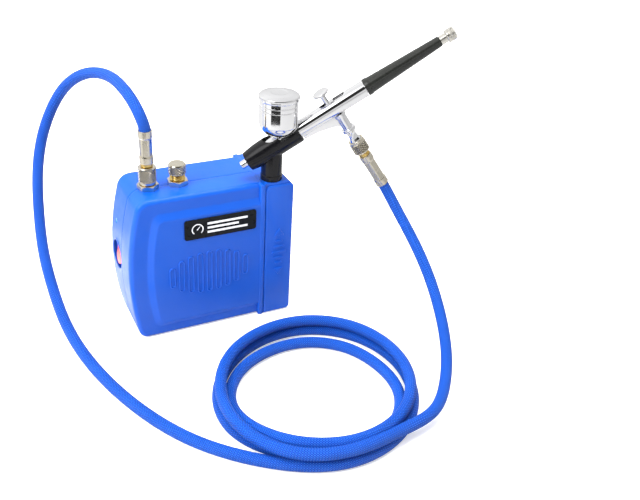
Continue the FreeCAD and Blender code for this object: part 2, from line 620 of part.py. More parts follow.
ARCH = (  # rise out of the compressor ferrule, arch to the left and back, fall to the table
    (-36.6, -3.2, 144.5), (-38.4, 5, 151.5), (-40.5, 21, 156), (-44, 45, 156.3), (-52, 66, 151.5),
    (-62, 80, 141), (-72, 87, 124.5), (-81, 84, 107), (-89, 72, 86), (-93.5, 58, 62), (-96, 40, 42),
    (-96, 18, 27),
    (-94.3, -6, 15.5), (-89.5, -33, 8.2), (-81.5, -61, 4.4), (-71.8, -88, 3.7),
)
RISER = ((88.5, -162, 9.4), (101, -150.5, 14), (112.5, -132, 24), (119.5, -110, 38), (122.5, -87, 53),
         (121.5, -65, 68), (118.5, -48, 81))


def hose_path(start):
    """Centre line from the compressor ferrule to the split at the coil's front right."""
    points = [start - V(0, 0, FERRULE_LEN - 11.6), start, V(*ARCH[0])]
    points += [V(*p) for p in ARCH[1:]]
    for degrees, radius, level in COIL_TURNS:
        a = math.radians(degrees)
        x = COIL_CENTRE[0] + radius * math.cos(a)
        y = COIL_CENTRE[1] + radius * math.sin(a)
        points.append(V(x, y, HOSE_R + 0.05 + level * 2 * HOSE_R))
    return points


# ---- airbrush frame -----------------------------------------------------------------------------
RISE = math.radians(BRUSH_RISE)
SWING = math.radians(BRUSH_SWING)
TAILWARD = V(math.cos(RISE) * math.cos(SWING), math.cos(RISE) * math.sin(SWING), math.sin(RISE))
NORMAL = V(-math.sin(RISE) * math.cos(SWING), -math.sin(RISE) * math.sin(SWING), math.cos(RISE))
SIDE = NORMAL.cross(TAILWARD)
BRUSH_ORIGIN = V(POST_XY[0], POST_XY[1], BRUSH_Z)
CUP_AXIS = V(math.sin(RISE), 0, math.cos(RISE))     # upright, in the airbrush's own frame


def to_world(shape):
    """Move a solid from the airbrush's own frame (X to the tail, Z away from the valve) to the world."""
    b, w, n, p = TAILWARD, SIDE, NORMAL, BRUSH_ORIGIN
    matrix = FreeCAD.Matrix(b.x, w.x, n.x, p.x, b.y, w.y, n.y, p.y, b.z, w.z, n.z, p.z, 0, 0, 0, 1)
    moved = shape.copy()
    moved.Placement = FreeCAD.Placement(matrix).multiply(shape.Placement)
    return moved


def at(s, y=0.0, n=0.0):
    return V(s, y, n)


def world_point(s, n):
    return BRUSH_ORIGIN + TAILWARD * s + NORMAL * n


def spindle(profile):
    """Turned solid on the airbrush axis from (radius, station) points."""
    return turned(profile, V(0, 0, 0), ALONG)


# ---- holder -------------------------------------------------------------------------------------
def holder():
    """Tube with a tapered nose, its rear half open on top, on an upright post."""
    tube = spindle([(0, HOLDER_FRONT), (5.9, HOLDER_FRONT), (6.3, HOLDER_FRONT + 0.5), (6.9, -14.0),
                    (7.35, -10.0), (HOLDER_R, -6.0), (HOLDER_R, HOLDER_REAR - 0.8),
                    (HOLDER_R - 0.6, HOLDER_REAR), (0, HOLDER_REAR)])
    slot_half = BARREL_R + RUN
    slot_s = 2.6
    slot = box(slot_s, HOLDER_REAR + 2, -slot_half, slot_half, 0, 12)
    slot = slot.fuse(rod(slot_half, at(slot_s), at(slot_s, 0, 12)))
    above = box(slot_s + 4, HOLDER_REAR + 2, -12, 12, CRADLE_TOP, 14)
    tube = to_world(tube.cut([slot, above]))
    foot = V(POST_XY[0], POST_XY[1], TOP)
    post = turned([(0, 0), (POST_R + 0.25, 0), (POST_R + 0.25, 3.2), (POST_R, 3.6), (POST_R, BRUSH_Z - TOP),
                   (0, BRUSH_Z - TOP)], foot)
    bore = to_world(rod(slot_half, at(-16.9), at(HOLDER_REAR + 3)))
    mouth = to_world(rod(3.0, at(-20), at(-16)))
    over_post = to_world(box(-12, 14, -8, 8, 0, 20))
    spigot = rod(SPIGOT_R, foot - V(0, 0, SPIGOT_LEN), foot)
    return tube.fuse([post.cut(over_post), spigot]).cut([bore, mouth])


# ---- airbrush -----------------------------------------------------------------------------------
def cup_solid():
    """Round paint cup with a domed bottom and two ring grooves, and its hollow as a second solid."""
    bowl = ellipse_arc(CUP_R, 9.7, 14.6, 8, 0, 68)
    outside = [(0, 2.0), (4.6, 2.0)] + list(reversed(bowl))
    for z in (23.6, 26.5):
        outside += [(CUP_R, z - 0.35), (CUP_R - 0.35, z), (CUP_R, z + 0.35)]
    outside += [(CUP_R, CUP_RIM), (0, CUP_RIM)]
    well = ellipse_arc(CUP_R - 1.0, 8.6, 14.8, 8, 0, 82)
    inside = [(0, 2.5), (1.2, 2.5)] + list(reversed(well)) + [(CUP_R - 1.0, CUP_RIM + 1), (0, CUP_RIM + 1)]
    origin = at(CUP_S)
    return turned(outside, origin, CUP_AXIS), turned(inside, origin, CUP_AXIS)


def keel():
    """Fin under the barrel that runs back into the air valve."""
    y = -1.5
    top = -4.6
    edge = Part.Arc(V(20.3, y, -7.4), V(34.0, y, -8.9), V(VALVE_S - 3.0, y, -12.6)).toShape()
    lines = [V(VALVE_S - 3.0, y, -12.6), V(VALVE_S - 3.0, y, top), V(20.3, y, top), V(20.3, y, -7.4)]
    sides = [Part.LineSegment(a, b).toShape() for a, b in zip(lines, lines[1:])]
    return Part.Face(Part.Wire([edge] + sides)).extrude(V(0, 3.0, 0))


def airbrush_body():
    barrel = spindle([(0, -10.2), (4.4, -10.2), (BARREL_R, -9.0), (BARREL_R, HANDLE_S - 0.2),
                      (0, HANDLE_S - 0.2)])
    cup, hollow = cup_solid()
    collar = rod(3.9, at(VALVE_S, 0, -4.6), at(VALVE_S, 0, -7.2))
    solid = barrel.fuse([cup, keel(), collar])
    needle_way = rod(0.9, at(-11), at(32))
    main_bore = rod(BARREL_BORE, at(30), at(HANDLE_S))
    slot = box(40, 54, -SLOT_HALF, SLOT_HALF, 0, 8)
    for s in (40, 54):
        slot = slot.fuse(rod(SLOT_HALF, at(s), at(s, 0, 8)))
    recess = box(23.0, 32.0, -1.6, 1.6, BARREL_R - 0.7, 8)
    valve_way = rod(2.4, at(VALVE_S, 0, -8), at(VALVE_S, 0, -2))
    casing_way = rod(3.4, at(VALVE_S, 0, -20), at(VALVE_S, 0, -7.25))
    return solid.cut([hollow, needle_way, main_bore, slot, recess, valve_way, casing_way])


def lid():
    """Push-on lid with a shallow dome, a dished middle and a vent hole."""
    edge = CUP_RIM + 0.05
    dome = [(LID_R - 0.3, edge), (LID_R, edge + 0.4), (LID_R, edge + 2.4), (LID_R - 0.5, edge + 2.9),
            (9.0, edge + 4.1), (5.5, edge + 4.4), (4.6, edge + 4.1), (0, edge + 4.0)]
    plug = [(0, edge - 2.5), (CUP_R - 1.1, edge - 2.5), (CUP_R - 1.1, edge)]
    solid = turned(plug + dome, at(CUP_S), CUP_AXIS)
    vent = rod(0.5, at(CUP_S), at(CUP_S) + CUP_AXIS * 40)
    vent.translate(V(math.cos(RISE), 0, -math.sin(RISE)) * 7.0)
    return solid.cut(vent)


def trigger():
    """Button on a stem, with a fork at its foot that straddles the needle."""
    disc = turned([(0, 11.2), (2.2, 11.3), (4.6, 11.9), (5.5, 12.8), (4.9, 13.7), (3.0, 14.1), (0, 14.2)],
                  at(TRIGGER_S), UP)
    stem = rod(1.7, at(TRIGGER_S, 0, 4.4), at(TRIGGER_S, 0, 11.6))
    fork = box(TRIGGER_S - 1.7, VALVE_S + 1.4, -1.75, 1.75, -1.0, 5.0)
    gap = box(TRIGGER_S - 3, VALVE_S + 3, -0.95, 0.95, -2, 4.2)
    return disc.fuse([stem, fork]).cut(gap)


def valve_casing():
    """Chromed air valve: straight stem, collar, waisted neck and threaded spigot."""
    out = -1.0
    profile = [(0, 7.3), (3.35, 7.3), (3.35, 16.3), (4.55, 16.9), (4.55, 18.7), (3.5, 19.6), (2.75, 21.9),
               (3.1, 24.6), (3.9, 26.6), (3.9, 33.0), (0, 33.0)]
    solid = turned(profile, at(VALVE_S), V(0, 0, out))
    chamber = turned([(0, 7.0), (2.4, 7.0), (2.4, 19.0), (1.2, 19.5), (1.2, 34), (0, 34)],
                     at(VALVE_S), V(0, 0, out))
    return solid.cut(chamber)


def brush_pieces():
    export("airbrush_holder", holder())
    export("airbrush_body", to_world(airbrush_body()))
    export("cup_lid", to_world(lid()))

    head = spindle([(0, -16.5), (3.4, -16.5), (4.4, -15.6), (4.4, -10.3), (0, -10.3)])
    export("spray_head", to_world(head.cut(rod(1.7, at(-17), at(-10)))))
    cap = spindle([(0, -23.2), (2.35, -23.2), (2.65, -22.8), (2.65, -16.6), (0, -16.6)])
    export("nozzle_cap", to_world(cap.cut(rod(1.75, at(-24), at(-16)))))
    tip = spindle([(0, -21.5), (0.8, -21.5), (1.65, -18.0), (1.65, -10.4), (0, -10.4)])
    export("nozzle", to_world(tip.cut(rod(0.7, at(-22), at(-10)))))

    needle = spindle([(0, -22.2), (NEEDLE_R, -16.0), (NEEDLE_R, 114), (0, 114)])
    export("needle", to_world(needle))
    guide = spindle([(NEEDLE_R, 50.0), (2.6, 50.0), (2.6, 51.5), (1.6, 51.5), (1.6, 88.0), (NEEDLE_R, 88.0)])
    export("needle_guide", to_world(guide))
    chuck = spindle([(NEEDLE_R, 88.1), (2.2, 88.1), (2.2, 95.0), (1.4, 96.0), (NEEDLE_R, 96.0)])
    export("needle_chuck", to_world(chuck))
    tube = spindle([(2.7, 56.5), (4.15, 56.5), (4.15, 60.0), (3.4, 60.0), (3.4, 80.0), (2.0, 80.0),
                    (2.0, 79.0), (2.7, 79.0)])
    export("spring_tube", to_world(tube))
    spring = []
    for i in range(25):
        a = i * math.pi / 4
        spring.append(at(64 + 0.6 * i, 2.15 * math.cos(a), 2.15 * math.sin(a)))
    export("needle_spring", to_world(sweep(spring, 0.3)))

    handle = spindle([(0, HANDLE_S), (5.3, HANDLE_S), (5.6, HANDLE_S + 0.4), (5.6, HANDLE_S + 2.8),
                      (5.2, HANDLE_S + 3.3), (3.35, 121.5), (3.0, 122.0), (0, 122.0)])
    bore = spindle([(0, HANDLE_S - 1), (3.6, HANDLE_S - 1), (3.6, 82), (2.5, 90), (2.5, 117.5), (1.9, 117.5),
                    (1.9, 123), (0, 123)])
    export("handle", to_world(handle.cut(bore)))
    knob = spindle([(0, 118), (1.82, 118), (1.82, 122.1), (3.0, 122.1), (3.0, 126.4), (3.9, 126.6),
                    (4.2, 127.0), (4.2, 128.1), (3.8, 128.5), (4.2, 128.9), (4.2, TAIL_S - 0.4),
                    (3.8, TAIL_S), (0, TAIL_S)])
    export("end_knob", to_world(knob))

    export("trigger", to_world(trigger()))
    plunger = turned([(0, 1.6), (1.1, 1.6), (1.1, 11.0), (1.9, 11.0), (1.9, 12.2), (0, 12.2)],
                     at(VALVE_S), V(0, 0, -1))
    export("valve_plunger", to_world(plunger))
    export("valve_casing", to_world(valve_casing()))
    coil = []
    for i in range(33):
        a = i * math.pi / 4
        coil.append(at(VALVE_S + 1.8 * math.cos(a), 1.8 * math.sin(a), -14.8 - 0.12 * i))
    export("valve_spring", to_world(sweep(coil, 0.25)))

    down = V(0, 0, -1)
    export("hose_nut_airbrush", to_world(hose_nut(at(VALVE_S, 0, -26.7), down, 5.4, 3.9, 8.3, 9.7)))
    export("hose_barb_airbrush", to_world(hose_barb(at(VALVE_S, 0, -33.1), down, 3.7, 1.8, 1.6, 6.2)))
    sleeve = ferrule(at(VALVE_S, 0, BRUSH_FERRULE_LEN - HOSE_DROP), down, BRUSH_FERRULE_LEN)
    export("hose_ferrule_airbrush", to_world(sleeve))


def hose_pieces(start):
    path = hose_path(start)
    export("hose", sweep(path, HOSE_R))
    brush_end = world_point(VALVE_S, -HOSE_DROP)
    inner_end = world_point(VALVE_S, -HOSE_DROP + BRUSH_FERRULE_LEN - 11.6)
    gap = (V(*RISER[0]) - path[-1]).normalize() * 0.3
    points = [path[-1] + gap] + [V(*p) for p in RISER] + [brush_end, inner_end]
    export("hose_riser", sweep(points, HOSE_R))


def main():
    os.makedirs("parts", exist_ok=True)
    housing_pieces()
    switch_pieces()
    motor_pieces()
    pump_pieces()
    electric_pieces()
    hose_start = outlet_pieces()
    brush_pieces()
    hose_pieces(hose_start)


main()
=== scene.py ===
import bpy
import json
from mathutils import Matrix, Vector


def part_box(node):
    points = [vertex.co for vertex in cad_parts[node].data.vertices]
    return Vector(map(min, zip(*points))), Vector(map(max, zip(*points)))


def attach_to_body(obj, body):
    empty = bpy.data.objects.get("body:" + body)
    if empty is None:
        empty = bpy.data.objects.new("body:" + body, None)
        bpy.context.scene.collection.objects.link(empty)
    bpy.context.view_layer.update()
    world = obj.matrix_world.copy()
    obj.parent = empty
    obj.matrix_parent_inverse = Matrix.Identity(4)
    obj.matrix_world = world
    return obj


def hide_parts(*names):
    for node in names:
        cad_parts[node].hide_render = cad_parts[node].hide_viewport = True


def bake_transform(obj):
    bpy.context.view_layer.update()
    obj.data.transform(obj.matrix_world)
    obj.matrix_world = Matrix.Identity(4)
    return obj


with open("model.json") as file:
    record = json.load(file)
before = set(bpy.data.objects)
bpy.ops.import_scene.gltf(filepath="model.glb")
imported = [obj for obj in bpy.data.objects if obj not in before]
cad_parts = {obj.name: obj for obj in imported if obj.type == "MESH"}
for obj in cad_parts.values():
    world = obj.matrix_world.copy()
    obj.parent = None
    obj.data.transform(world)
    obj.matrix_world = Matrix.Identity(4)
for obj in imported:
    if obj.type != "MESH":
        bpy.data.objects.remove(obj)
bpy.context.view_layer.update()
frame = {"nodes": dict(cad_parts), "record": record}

# Looks of a small airbrush compressor with its braided hose, holder and gravity-feed airbrush.
# Row frame, metres: +X along the housing to the holder, +Y to the back, +Z up, origin on the table.
# Shape numbers below are millimetres and go through MM.
import json
import math

import bmesh
import bpy
import numpy as np
from mathutils import Matrix, Vector

MM = 0.001
NODES = frame["nodes"]
JOINTS = {joint["name"]: joint for joint in frame["record"]["behaviour"]["joints"]}
SLOTS = {part["node"]: part["material_slot"] for part in frame["record"]["subparts"]}

UP = Vector((0, 0, 1))
TAIL = Vector(JOINTS["airbrush_slide"]["axis"]).normalized()
DOWN = Vector(JOINTS["trigger_press"]["axis"]).normalized()
CROWN = -DOWN
SIDE = CROWN.cross(TAIL)
BRUSH = Vector(JOINTS["handle_turn"]["pos_m"]) - TAIL * 80 * MM
HOSE_PORT = Vector(JOINTS["compressor_nut_turn"]["pos_m"])
SPARE_PORT = Vector(JOINTS["cap_turn"]["pos_m"])
TOP = 100.0
THREAD_PITCH = 0.907
BRAID_STRANDS = 18
ROCKER_R = 7.2
SCREW_SPOTS = ((-46.0, 84.0), (-44.0, 12.0), (26.0, 10.0), (26.0, 91.0))
# Stations along the airbrush, from the middle of the holder to the tail.
CUP_AT, TRIGGER_AT, VALVE_AT = 4.2, 43.5, 46.5
KEEL_START, KEEL_END = 20.3, 43.5


def brush_point(s, y=0.0, n=0.0):
    """Point in the airbrush's own frame: s to the tail, y sideways, n away from the valve."""
    return BRUSH + (TAIL * s + SIDE * y + CROWN * n) * MM


# ---- node materials -----------------------------------------------------------------------------
class Graph:
    """Small helper to write shader nodes as expressions."""

    def __init__(self, tree):
        self.tree = tree

    def node(self, kind, **settings):
        made = self.tree.nodes.new(kind)
        for key, value in settings.items():
            setattr(made, key, value)
        return made

    def put(self, socket, value):
        if hasattr(value, "node"):
            self.tree.links.new(value, socket)
        else:
            socket.default_value = value

    def math(self, operation, a, b=0.0):
        made = self.node("ShaderNodeMath", operation=operation)
        self.put(made.inputs[0], a)
        self.put(made.inputs[1], b)
        return made.outputs[0]

    def noise(self, vector, scale, detail=2.0, rough=0.5):
        made = self.node("ShaderNodeTexNoise")
        self.put(made.inputs["Vector"], vector)
        self.put(made.inputs["Scale"], scale)
        self.put(made.inputs["Detail"], detail)
        self.put(made.inputs["Roughness"], rough)
        return made.outputs["Fac"]

    def spread(self, value, low, high):
        """Map 0.3..0.7, where a noise texture mostly lies, to low..high."""
        made = self.node("ShaderNodeMapRange")
        self.put(made.inputs["Value"], value)
        self.put(made.inputs["From Min"], 0.3)
        self.put(made.inputs["From Max"], 0.7)
        self.put(made.inputs["To Min"], low)
        self.put(made.inputs["To Max"], high)
        return made.outputs["Result"]

    def mix(self, factor, a, b):
        made = self.node("ShaderNodeMix", data_type="RGBA")
        self.put(made.inputs["Factor"], factor)
        self.put(made.inputs["A"], a)
        self.put(made.inputs["B"], b)
        return made.outputs["Result"]

    def dot(self, vector, constant):
        made = self.node("ShaderNodeVectorMath", operation="DOT_PRODUCT")
        self.put(made.inputs[0], vector)
        self.put(made.inputs[1], constant)
        return made.outputs["Value"]

    def ramp(self, value, start, stop, low, high):
        """Smooth step from low to high as the value goes from start to stop."""
        made = self.node("ShaderNodeMapRange", interpolation_type="SMOOTHSTEP")
        self.put(made.inputs["Value"], value)
        self.put(made.inputs["From Min"], start)
        self.put(made.inputs["From Max"], stop)
        self.put(made.inputs["To Min"], low)
        self.put(made.inputs["To Max"], high)
        return made.outputs["Result"]

    def choose(self, factor, a, b):
        made = self.node("ShaderNodeMix", data_type="FLOAT")
        self.put(made.inputs["Factor"], factor)
        self.put(made.inputs["A"], a)
        self.put(made.inputs["B"], b)
        return made.outputs["Result"]

    def bump(self, height, distance, strength=1.0, normal=None):
        made = self.node("ShaderNodeBump")
        self.put(made.inputs["Height"], height)
        self.put(made.inputs["Distance"], distance)
        self.put(made.inputs["Strength"], strength)
        if normal is not None:
            self.put(made.inputs["Normal"], normal)
        return made.outputs["Normal"]


def angles(start, sweep, steps):
    """Radians from the start through the sweep, both in degrees, with both ends."""
    return [math.radians(start + sweep * i / steps) for i in range(steps + 1)]


def colour(r, g, b):
    return (r, g, b, 1.0)


def shader(name):
    """New material: its graph, its surface shader and object coordinates in metres."""
    material = bpy.data.materials.new(name)
    material.use_nodes = True
    graph = Graph(material.node_tree)
    surface = material.node_tree.nodes["Principled BSDF"]
    place = graph.node("ShaderNodeTexCoord").outputs["Object"]
    return material, graph, surface, place


def finish(name, light, dark, rough, metallic=0.0, grain=1500.0, depth=0.00001, vary=0.06, patch=60.0,
           coat=0.0, sheen=0.0, specular=0.5, painted_shade_reach=0.0):
    """Surface with patchy colour, uneven roughness and a fine grain. Depth is the grain's height in metres,
    and the shade reach is the distance in metres over which hollows are darkened with painted shade."""
    material, graph, surface, place = shader(name)
    patches = graph.noise(place, patch, 3.0)
    fine = graph.noise(place, grain, 2.0, 0.6)
    base = graph.mix(graph.spread(patches, 0.0, 1.0), colour(*dark), colour(*light))
    if painted_shade_reach:
        shade = graph.node("ShaderNodeAmbientOcclusion")
        shade.samples = 8
        shade.only_local = True
        shade.inputs["Distance"].default_value = painted_shade_reach
        open_part = graph.ramp(shade.outputs["AO"], 0.3, 0.9, 0.0, 1.0)
        # painted shade: hollows that ambient occlusion finds get a dark brown-grey instead of the surface
        # colour
        base = graph.mix(open_part, colour(0.16, 0.145, 0.12), base)
    graph.put(surface.inputs["Base Color"], base)
    wear = graph.noise(place, patch * 4.0, 4.0)
    graph.put(surface.inputs["Roughness"], graph.spread(wear, max(rough - vary, 0.02), rough + vary))
    graph.put(surface.inputs["Metallic"], metallic)
    graph.put(surface.inputs["Specular IOR Level"], specular)
    graph.put(surface.inputs["Coat Weight"], coat)
    graph.put(surface.inputs["Coat Roughness"], 0.06)
    graph.put(surface.inputs["Sheen Weight"], sheen)
    graph.put(surface.inputs["Normal"], graph.bump(fine, depth))
    return material


def braid():
    """Woven nylon sleeve, with painted shade between the strands and a painted highlight on strands that lie
    on top.
    U runs round the hose and V along it, both in turns of the hose's girth.
    """
    material, graph, surface, place = shader("braided_nylon")
    uv = graph.node("ShaderNodeSeparateXYZ")
    graph.put(uv.inputs[0], graph.node("ShaderNodeTexCoord").outputs["UV"])
    around = graph.math("MULTIPLY", uv.outputs["X"], BRAID_STRANDS)
    along = graph.math("MULTIPLY", uv.outputs["Y"], BRAID_STRANDS * 0.8)
    left = graph.math("ADD", around, along)
    right = graph.math("SUBTRACT", around, along)
    cell = graph.math("ADD", graph.math("FLOOR", left), graph.math("FLOOR", right))
    over = graph.math("FLOORED_MODULO", cell, 2.0)
    ridge_left = graph.math("ABSOLUTE", graph.math("SINE", graph.math("MULTIPLY", left, math.pi)))
    ridge_right = graph.math("ABSOLUTE", graph.math("SINE", graph.math("MULTIPLY", right, math.pi)))
    height = graph.choose(over, ridge_left, ridge_right)
    crossing = graph.math("MULTIPLY", height, graph.math("MAXIMUM", ridge_left, ridge_right))
    fibres = graph.noise(place, 5200.0, 2.0, 0.7)
    patches = graph.noise(place, 45.0, 2.0)
    # painted shade: colour of the gaps between strands
    painted_gap_shade = colour(0.001, 0.016, 0.16)
    bright = graph.mix(graph.spread(patches, 0.0, 1.0), colour(0.005, 0.096, 0.62),
                       colour(0.008, 0.114, 0.70))
    # painted highlight: strands that lie on top are mixed towards a lighter blue
    lit = graph.mix(graph.math("MULTIPLY", over, 0.35), bright, colour(0.04, 0.24, 0.95))
    # painted shade where the weave dips, painted highlight on the strand tops
    graph.put(surface.inputs["Base Color"], graph.mix(crossing, painted_gap_shade, lit))
    graph.put(surface.inputs["Roughness"], graph.spread(fibres, 0.38, 0.62))
    graph.put(surface.inputs["Specular IOR Level"], 0.3)
    weave = graph.bump(crossing, 0.0005, 1.0)
    graph.put(surface.inputs["Normal"], graph.bump(fibres, 0.00003, 0.6, weave))
    return material


MATERIALS = {
    "blue_housing": finish("satin_blue_plastic", (0.003, 0.088, 0.53), (0.002, 0.078, 0.50),
                           0.34, grain=2600.0, depth=0.000008, patch=25.0, specular=0.42),
    "black_gloss": finish("black_gloss_plastic", (0.007, 0.007, 0.008), (0.004, 0.004, 0.005),
                          0.16, grain=1800.0, depth=0.000003, specular=0.3),
    "label_black": finish("label_black", (0.010, 0.011, 0.012), (0.007, 0.008, 0.009), 0.30,
                          grain=3000.0, depth=0.000004, specular=0.12),
    "label_white": finish("label_white_ink", (0.88, 0.89, 0.90), (0.80, 0.81, 0.82), 0.45,
                          grain=3000.0, depth=0.000004),
    "rocker_red": finish("red_plastic", (0.80, 0.10, 0.08), (0.70, 0.08, 0.065), 0.30, coat=0.3),
    "lens_green": finish("green_lens", (0.06, 0.45, 0.10), (0.04, 0.35, 0.08), 0.15, coat=0.5),
    "black_moulding": finish("black_moulding", (0.03, 0.03, 0.03), (0.02, 0.02, 0.02), 0.55),
    "rubber_dark": finish("dark_rubber", (0.035, 0.035, 0.035), (0.02, 0.02, 0.02), 0.75, sheen=0.2),
    "tube_clear": finish("pale_tube", (0.72, 0.72, 0.68), (0.62, 0.62, 0.58), 0.35, coat=0.3),
    "steel": finish("plain_steel", (0.55, 0.55, 0.57), (0.46, 0.46, 0.48), 0.32, metallic=1.0),
    "magnet": finish("dark_ferrite", (0.07, 0.07, 0.075), (0.04, 0.04, 0.045), 0.6),
    "board": finish("board_green", (0.02, 0.16, 0.05), (0.015, 0.11, 0.04), 0.4, coat=0.3),
    "wire_cover": finish("wire_cover", (0.5, 0.02, 0.02), (0.4, 0.015, 0.015), 0.4),
    "grey_moulding": finish("grey_moulding", (0.32, 0.32, 0.34), (0.26, 0.26, 0.28), 0.5),
    "brass": finish("turned_brass", (0.80, 0.58, 0.20), (0.68, 0.46, 0.14), 0.20, metallic=1.0,
                    grain=2500.0, depth=0.000006),
    # nickel with painted shade in the hollows of its knurling
    "nickel": finish("warm_nickel", (0.74, 0.69, 0.58), (0.66, 0.61, 0.50), 0.22, metallic=1.0,
                     grain=2500.0, depth=0.000004, painted_shade_reach=0.0008),
    "pale_nickel": finish("pale_nickel", (0.84, 0.82, 0.76), (0.78, 0.755, 0.69), 0.24, metallic=1.0,
                          grain=2500.0, depth=0.000005),
    "chrome": finish("polished_chrome", (0.90, 0.90, 0.91), (0.86, 0.86, 0.875), 0.055, metallic=1.0,
                     grain=900.0, depth=0.0000015, vary=0.02),
    "black_anodised": finish("black_anodised", (0.016, 0.017, 0.015), (0.010, 0.011, 0.010), 0.15,
                             grain=3000.0, depth=0.000003, specular=0.5),
    "braid_blue": braid(),
}


# ---- mesh building ------------------------------------------------------------------------------
def rounded(profile, radius, parts=4):
    """The profile with each inner corner turned into a small curve."""
    points = [Vector(p) for p in profile]
    out = [points[0]]
    for before, corner, after in zip(points, points[1:], points[2:]):
        reach_in = min(radius, 0.45 * (corner - before).length)
        reach_out = min(radius, 0.45 * (after - corner).length)
        if reach_in < 1e-4 or reach_out < 1e-4:
            out.append(corner)
            continue
        a = corner + (before - corner).normalized() * reach_in
        c = corner + (after - corner).normalized() * reach_out
        for i in range(parts + 1):
            t = i / parts
            out.append(a * (1 - t) ** 2 + corner * 2 * t * (1 - t) + c * t ** 2)
    out.append(points[-1])
    return [(p.x, p.y) for p in out]


def divided(profile, longest):
    """The profile with long segments cut up, so that relief has vertices to move."""
    out = [profile[0]]
    for (r0, h0), (r1, h1) in zip(profile, profile[1:]):
        count = max(1, math.ceil(math.hypot(r1 - r0, h1 - h0) / longest))
        for i in range(1, count + 1):
            out.append((r0 + (r1 - r0) * i / count, h0 + (h1 - h0) * i / count))
    return out


def square_to(axis):
    """Two unit vectors that make a right-handed frame with the axis."""
    helper = Vector((0, 1, 0)) if abs(axis.y) < 0.9 else Vector((1, 0, 0))
    u = helper.cross(axis).normalized()
    return u, axis.cross(u)


class Shape:
    """Mesh under construction, in the row frame."""

    def __init__(self):
        self.points = []
        self.faces = []
        self.uvs = []

    def add(self, points, faces, uvs=None):
        base = len(self.points)
        self.points.extend(points)
        for index, face in enumerate(faces):
            self.faces.append([base + i for i in face])
            self.uvs.append(uvs[index] if uvs else [(0.0, 0.0)] * len(face))

    def turned(self, profile, origin, axis, steps=96, relief=None, start=None):
        """Surface of revolution. Profile is (radius, height) in mm, and relief(angle, height, radius) gives
        a new radius."""
        axis = axis.normalized()
        u, w = square_to(axis)
        if start is not None:
            u = (start - axis * start.dot(axis)).normalized()
            w = axis.cross(u)
        points = []
        for radius, height in profile:
            for i in range(steps):
                angle = 2 * math.pi * i / steps
                r = relief(angle, height, radius) if relief and radius > 0.01 else radius
                points.append(origin + (axis * height + (u * math.cos(angle) + w * math.sin(angle)) * r) * MM)
        faces = []
        for ring in range(len(profile) - 1):
            for i in range(steps):
                j = (i + 1) % steps
                low, high = ring * steps, (ring + 1) * steps
                faces.append((low + i, low + j, high + j, high + i))
        self.add(points, faces)
        return self

    def block(self, outline, depth, bevel=0.0, keep=None):
        """Prism from a flat outline along the depth vector, with rounded edges except those keep picks."""
        mesh = bmesh.new()
        base = [mesh.verts.new(p) for p in outline]
        face = mesh.faces.new(base)
        grown = bmesh.ops.extrude_face_region(mesh, geom=[face])
        moved = [v for v in grown["geom"] if isinstance(v, bmesh.types.BMVert)]
        bmesh.ops.translate(mesh, verts=moved, vec=depth)
        bmesh.ops.recalc_face_normals(mesh, faces=mesh.faces)
        if bevel:
            edges = [e for e in mesh.edges if not (keep and all(keep(v.co) for v in e.verts))]
            bmesh.ops.bevel(mesh, geom=edges, offset=bevel * MM, segments=4, profile=0.5,
                            affect="EDGES", clamp_overlap=True)
        mesh.verts.index_update()
        self.add([v.co.copy() for v in mesh.verts], [[v.index for v in f.verts] for f in mesh.faces])
        mesh.free()
        return self

    def make(self, name, look, body=None, replaces=(), sharp=32.0, smooth=True):
        mesh = bpy.data.meshes.new(name)
        mesh.from_pydata(self.points, [], self.faces)
        layer = mesh.uv_layers.new(name="along")
        flat = [uv for face in self.uvs for uv in face]
        for loop, uv in zip(layer.data, flat):
            loop.uv = uv
        work = bmesh.new()
        work.from_mesh(mesh)
        bmesh.ops.remove_doubles(work, verts=work.verts, dist=2e-7)
        bmesh.ops.recalc_face_normals(work, faces=work.faces)
        work.to_mesh(mesh)
        work.free()
        if smooth:
            mesh.shade_smooth()
            mesh.set_sharp_from_angle(angle=math.radians(sharp))
        mesh.materials.append(MATERIALS[look])
        piece = bpy.data.objects.new(name, mesh)
        bpy.context.scene.collection.objects.link(piece)
        if body:
            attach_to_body(piece, body)
        if replaces:
            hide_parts(*replaces)
        return piece

    def stand_in(self, name, look, body, sharp=32.0):
        """Makes the piece that is shown for the CAD piece of the same name."""
        return self.make(name, look, body, (name,), sharp)


def at_height(point, height):
    """The point moved up or down to a height in mm."""
    return Vector((point.x, point.y, height * MM))


def attach(piece, body, look, *replaced):
    """Puts a finished piece on its body and the CAD pieces that it replaces."""
    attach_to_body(piece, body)
    if replaced:
        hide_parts(*replaced)


def cut_with(piece, cutter):
    """The piece with the cutter's volume taken away."""
    modifier = piece.modifiers.new("cut", "BOOLEAN")
    modifier.operation = "DIFFERENCE"
    modifier.solver = "EXACT"
    modifier.object = cutter
    graph = bpy.context.evaluated_depsgraph_get()
    mesh = bpy.data.meshes.new_from_object(piece.evaluated_get(graph))
    piece.modifiers.clear()
    piece.data = mesh
    bpy.data.objects.remove(cutter)
    mesh.shade_smooth()
    mesh.set_sharp_from_angle(angle=math.radians(32))


def knurl(count, depth, low, high, pitch):
    """Diamond knurling between two heights: pyramids between crossing grooves."""
    def relief(angle, height, radius):
        if not low < height < high:
            return radius
        turn = count * angle / (2 * math.pi)
        lift = height / pitch
        a = 1 - abs(2 * ((turn + lift) % 1.0) - 1)
        b = 1 - abs(2 * ((turn - lift) % 1.0) - 1)
        edge = min(1.0, (height - low) / 0.4, (high - height) / 0.4)
        return radius - depth * (1 - min(1.0, 1.6 * min(a, b))) * edge
    return relief


def threads(depth, low, high):
    """Right-handed helical grooves between two heights."""
    def relief(angle, height, radius):
        if not low < height < high:
            return radius
        phase = (height / THREAD_PITCH - angle / (2 * math.pi)) % 1.0
        return radius - depth * abs(2 * phase - 1)
    return relief


